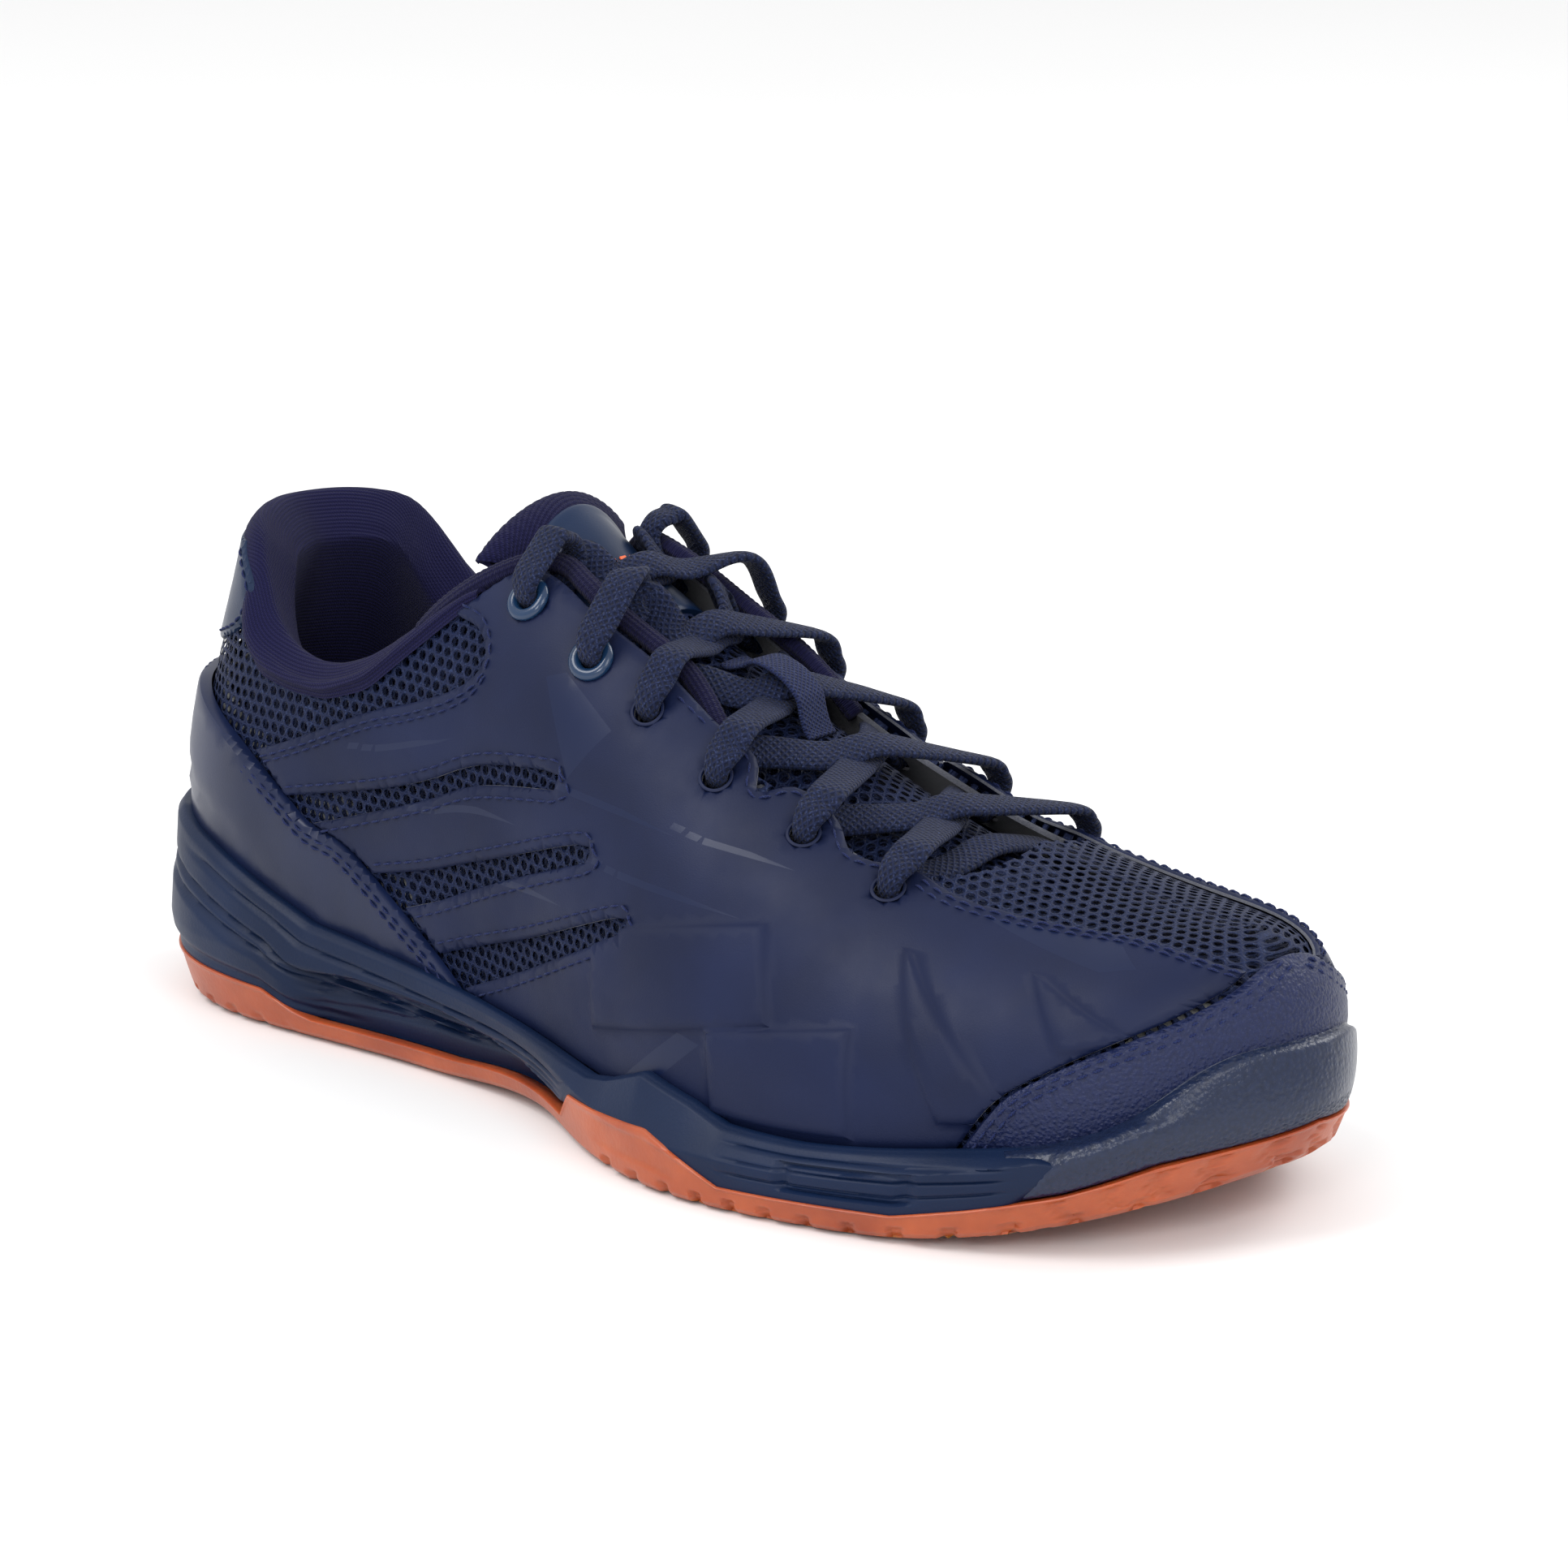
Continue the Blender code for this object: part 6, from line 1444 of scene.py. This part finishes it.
def lace():
    stops = list(reversed(lace_end(-1))) + eyelet_stops(0, -1, outwards=False)
    sign = -1
    for row in range(5):
        stops += crossing(row, sign, over=sign < 0)
        sign = -sign
        stops += eyelet_stops(row + 1, sign, outwards=False)
    x = eyelet_frame(5, sign)[0][0]
    stops += [(tongue(x, w, -2.0), np.array([0.2, 0, 1.0])) for w in (sign * 0.5, 0, -sign * 0.5)]
    for row in range(4, -1, -1):
        stops += eyelet_stops(row + 1, -sign, outwards=True)
        stops += list(reversed(crossing(row, sign, over=sign < 0)))
        sign = -sign
    stops += eyelet_stops(0, 1, outwards=True) + lace_end(1)
    joined = np.array([np.concatenate(stop) for stop in stops])
    even = resample(joined, 2000)
    path, hints = even[:, :3].copy(), even[:, 3:]
    for _ in range(14):
        path[1:-1] = (path[:-2] + 2 * path[1:-1] + path[2:]) / 4

    def swell(run):
        return 0.08 * noise(run * 0.35, run * 0.11)

    sweep("lace_cord", path, hints, 7.3, 2.2, LACE, narrow=(4.5, 3.0), swell=swell, replaces=["lace"],
          slot="lace_cord")
    for name, ends in (("lateral", path[12::-12]), ("medial", path[-13::12])):
        direction = unit(ends[1] - ends[0])
        line = ends[1] + direction * np.linspace(0.0, 11, 30)[:, None]
        grip = normal(-0.415 if name == "lateral" else 0.415, 0.75)
        sweep(f"lace_tip_{name}", line, np.tile([grip], (30, 1)), 2.6, 2.0, TIP, power=2.0,
              replaces=[f"aglet_{name}"], slot="ring_plastic")


def piping():
    for name, sign in (("lateral", -1), ("medial", 1)):
        along = [(0.318, 0.700, -2.2), (0.335, 0.742, -1.2), (0.352, 0.775, -0.8), (0.372, 0.803, -0.8),
                 (0.395, 0.834, -0.9),
                 (0.42, 0.850, -0.9), (0.445, 0.838, -0.9), (0.47, 0.824, -0.9), (0.53, 0.812, -0.9),
                 (0.56, 0.79, -1.6), (0.585, 0.755, -3.2)]
        route = resample([skin(sign * a, h, d) for a, h, d in along], 300)

        def ribs(run):
            return 0.06 * np.sin(run * 2 * np.pi / 1.4) + 0.1 * noise(run * 0.3, run * 0.1)

        facing = normal(sign * 0.44, 0.83)
        sweep(f"throat_welt_{name}", route, np.tile([facing], (300, 1)), 4.2, 3.9, PIPING, power=2.1,
              sides=24, slot="knit",
              replaces=[f"throat_piping_{name}"], swell=ribs)


RING_PROFILE = [  # radius and height over the upper, of the moulded rings and of the pressed rims
    (2.2, -3.2), (2.1, -1.0), (2.1, 1.2), (2.25, 1.9), (2.7, 2.45), (3.3, 2.6),
    (3.95, 2.4), (4.45, 1.95), (4.6, 1.5), (4.5, 1.2), (2.9, 1.1), (2.75, -3.2),
]
RIM_PROFILE = [(2.65, 1.05), (2.8, 1.27), (3.1, 1.29), (3.35, 1.12), (2.75, 0.8)]


def turned(name, row, sign, profile, count, look, **more):
    """A profile turned round an eyelet's axis."""
    at, axis, _ = eyelet_frame(row, sign)
    right = unit(np.cross(axis, [0, 0, 1.0]))
    up = np.cross(axis, right)
    points = []
    for turn in 2 * np.pi * np.arange(count) / count:
        out = right * math.cos(turn) + up * math.sin(turn)
        points += [at + out * r + axis * z for r, z in profile]
    faces = grid_faces(count, len(profile), closed=True, round_=True)
    weld(make(name, points, faces, look, **more), 1e-7)


def rings():
    for name, sign in (("lateral", -1), ("medial", 1)):
        for row in range(len(EYELETS)):
            end = f"{name}_{row + 1}"
            if row < RINGED:
                turned(f"eyelet_{end}", row, sign, RING_PROFILE, 48, RING, slot="ring_plastic",
                       replaces=[f"eyelet_ring_{end}"])
            else:
                turned(f"eyelet_rim_{end}", row, sign, RIM_PROFILE, 36, OVERLAY, slot="coated_sheet")


# ---- stage and camera ----


def camera_and_light():
    scene = bpy.context.scene
    target = (np.array([153.7, 3.9, 60.6]) - ORIGIN) * MM
    phi, theta = math.radians(41.73), math.radians(15.07)
    back = np.array([math.sin(phi) * math.cos(theta), -math.cos(phi) * math.cos(theta), math.sin(theta)])
    data = bpy.data.cameras.new("camera")
    data.lens, data.sensor_width = 128.7, 36.0
    data.clip_start, data.clip_end = 0.05, 50.0
    camera = bpy.data.objects.new("camera", data)
    camera.location = target + back * 1.075
    camera.rotation_euler = Vector(-back).to_track_quat("-Z", "Y").to_euler()
    scene.collection.objects.link(camera)
    scene.camera = camera
    world = bpy.data.worlds.new("studio")
    world.use_nodes = True
    world.node_tree.nodes["Background"].inputs[0].default_value = (1.0, 1.0, 1.0, 1)
    world.node_tree.nodes["Background"].inputs[1].default_value = 1.0
    scene.world = world
    for name, place, size, power, look in (
        ("key", (-0.35, -0.85, 1.25), 0.7, 10.0, (0, 0, 0.04)),
        ("fill", (1.0, -0.35, 0.75), 0.5, 3.0, (0, 0, 0.05)),
        ("rim", (0.35, 0.95, 0.8), 0.6, 5.0, (0, 0, 0.05)),
        ("front", (0.45, -0.75, 0.45), 0.25, 1.6, (0.08, -0.02, 0.04)),
    ):
        lamp = bpy.data.lights.new(name, "AREA")
        lamp.energy, lamp.size = power, size
        made = bpy.data.objects.new(name, lamp)
        made.location = place
        made.rotation_euler = (Vector(look) - Vector(place)).to_track_quat("-Z", "Y").to_euler()
        scene.collection.objects.link(made)
    n = Nodes("floor_sweep", (0.86, 0.86, 0.86), 0.7)
    n.tint(n.spread(n.noise(2.0, 2.0), 0.3, 0.7), (0.85, 0.85, 0.85), (0.87, 0.87, 0.87))
    mesh = bpy.data.meshes.new("floor")
    mesh.from_pydata([(-4, -4, -0.0004), (4, -4, -0.0004), (4, 4, -0.0004), (-4, 4, -0.0004)], [],
                     [(0, 1, 2, 3)])
    mesh.materials.append(n.material)
    floor = bpy.data.objects.new("floor", mesh)
    scene.collection.objects.link(floor)
    scene.view_settings.view_transform = "Standard"


camera_and_light()
lace()
outsole()
midsole()
toe_guard()
insole()
upper_layers()
all_stitches()
collar()
tongue_pieces()
piping()
rings()
INNER_LOOKS = {
    "shank_plate": SHELL, "heel_cushion": GUM, "forefoot_cushion": GUM,
    "strobel_board": BOARD, "toe_puff": STIFF, "heel_stiffener": STIFF,
}
for node, look in INNER_LOOKS.items():
    inner_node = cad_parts[node]
    inner_node.data.materials.clear()
    inner_node.data.materials.append(look)
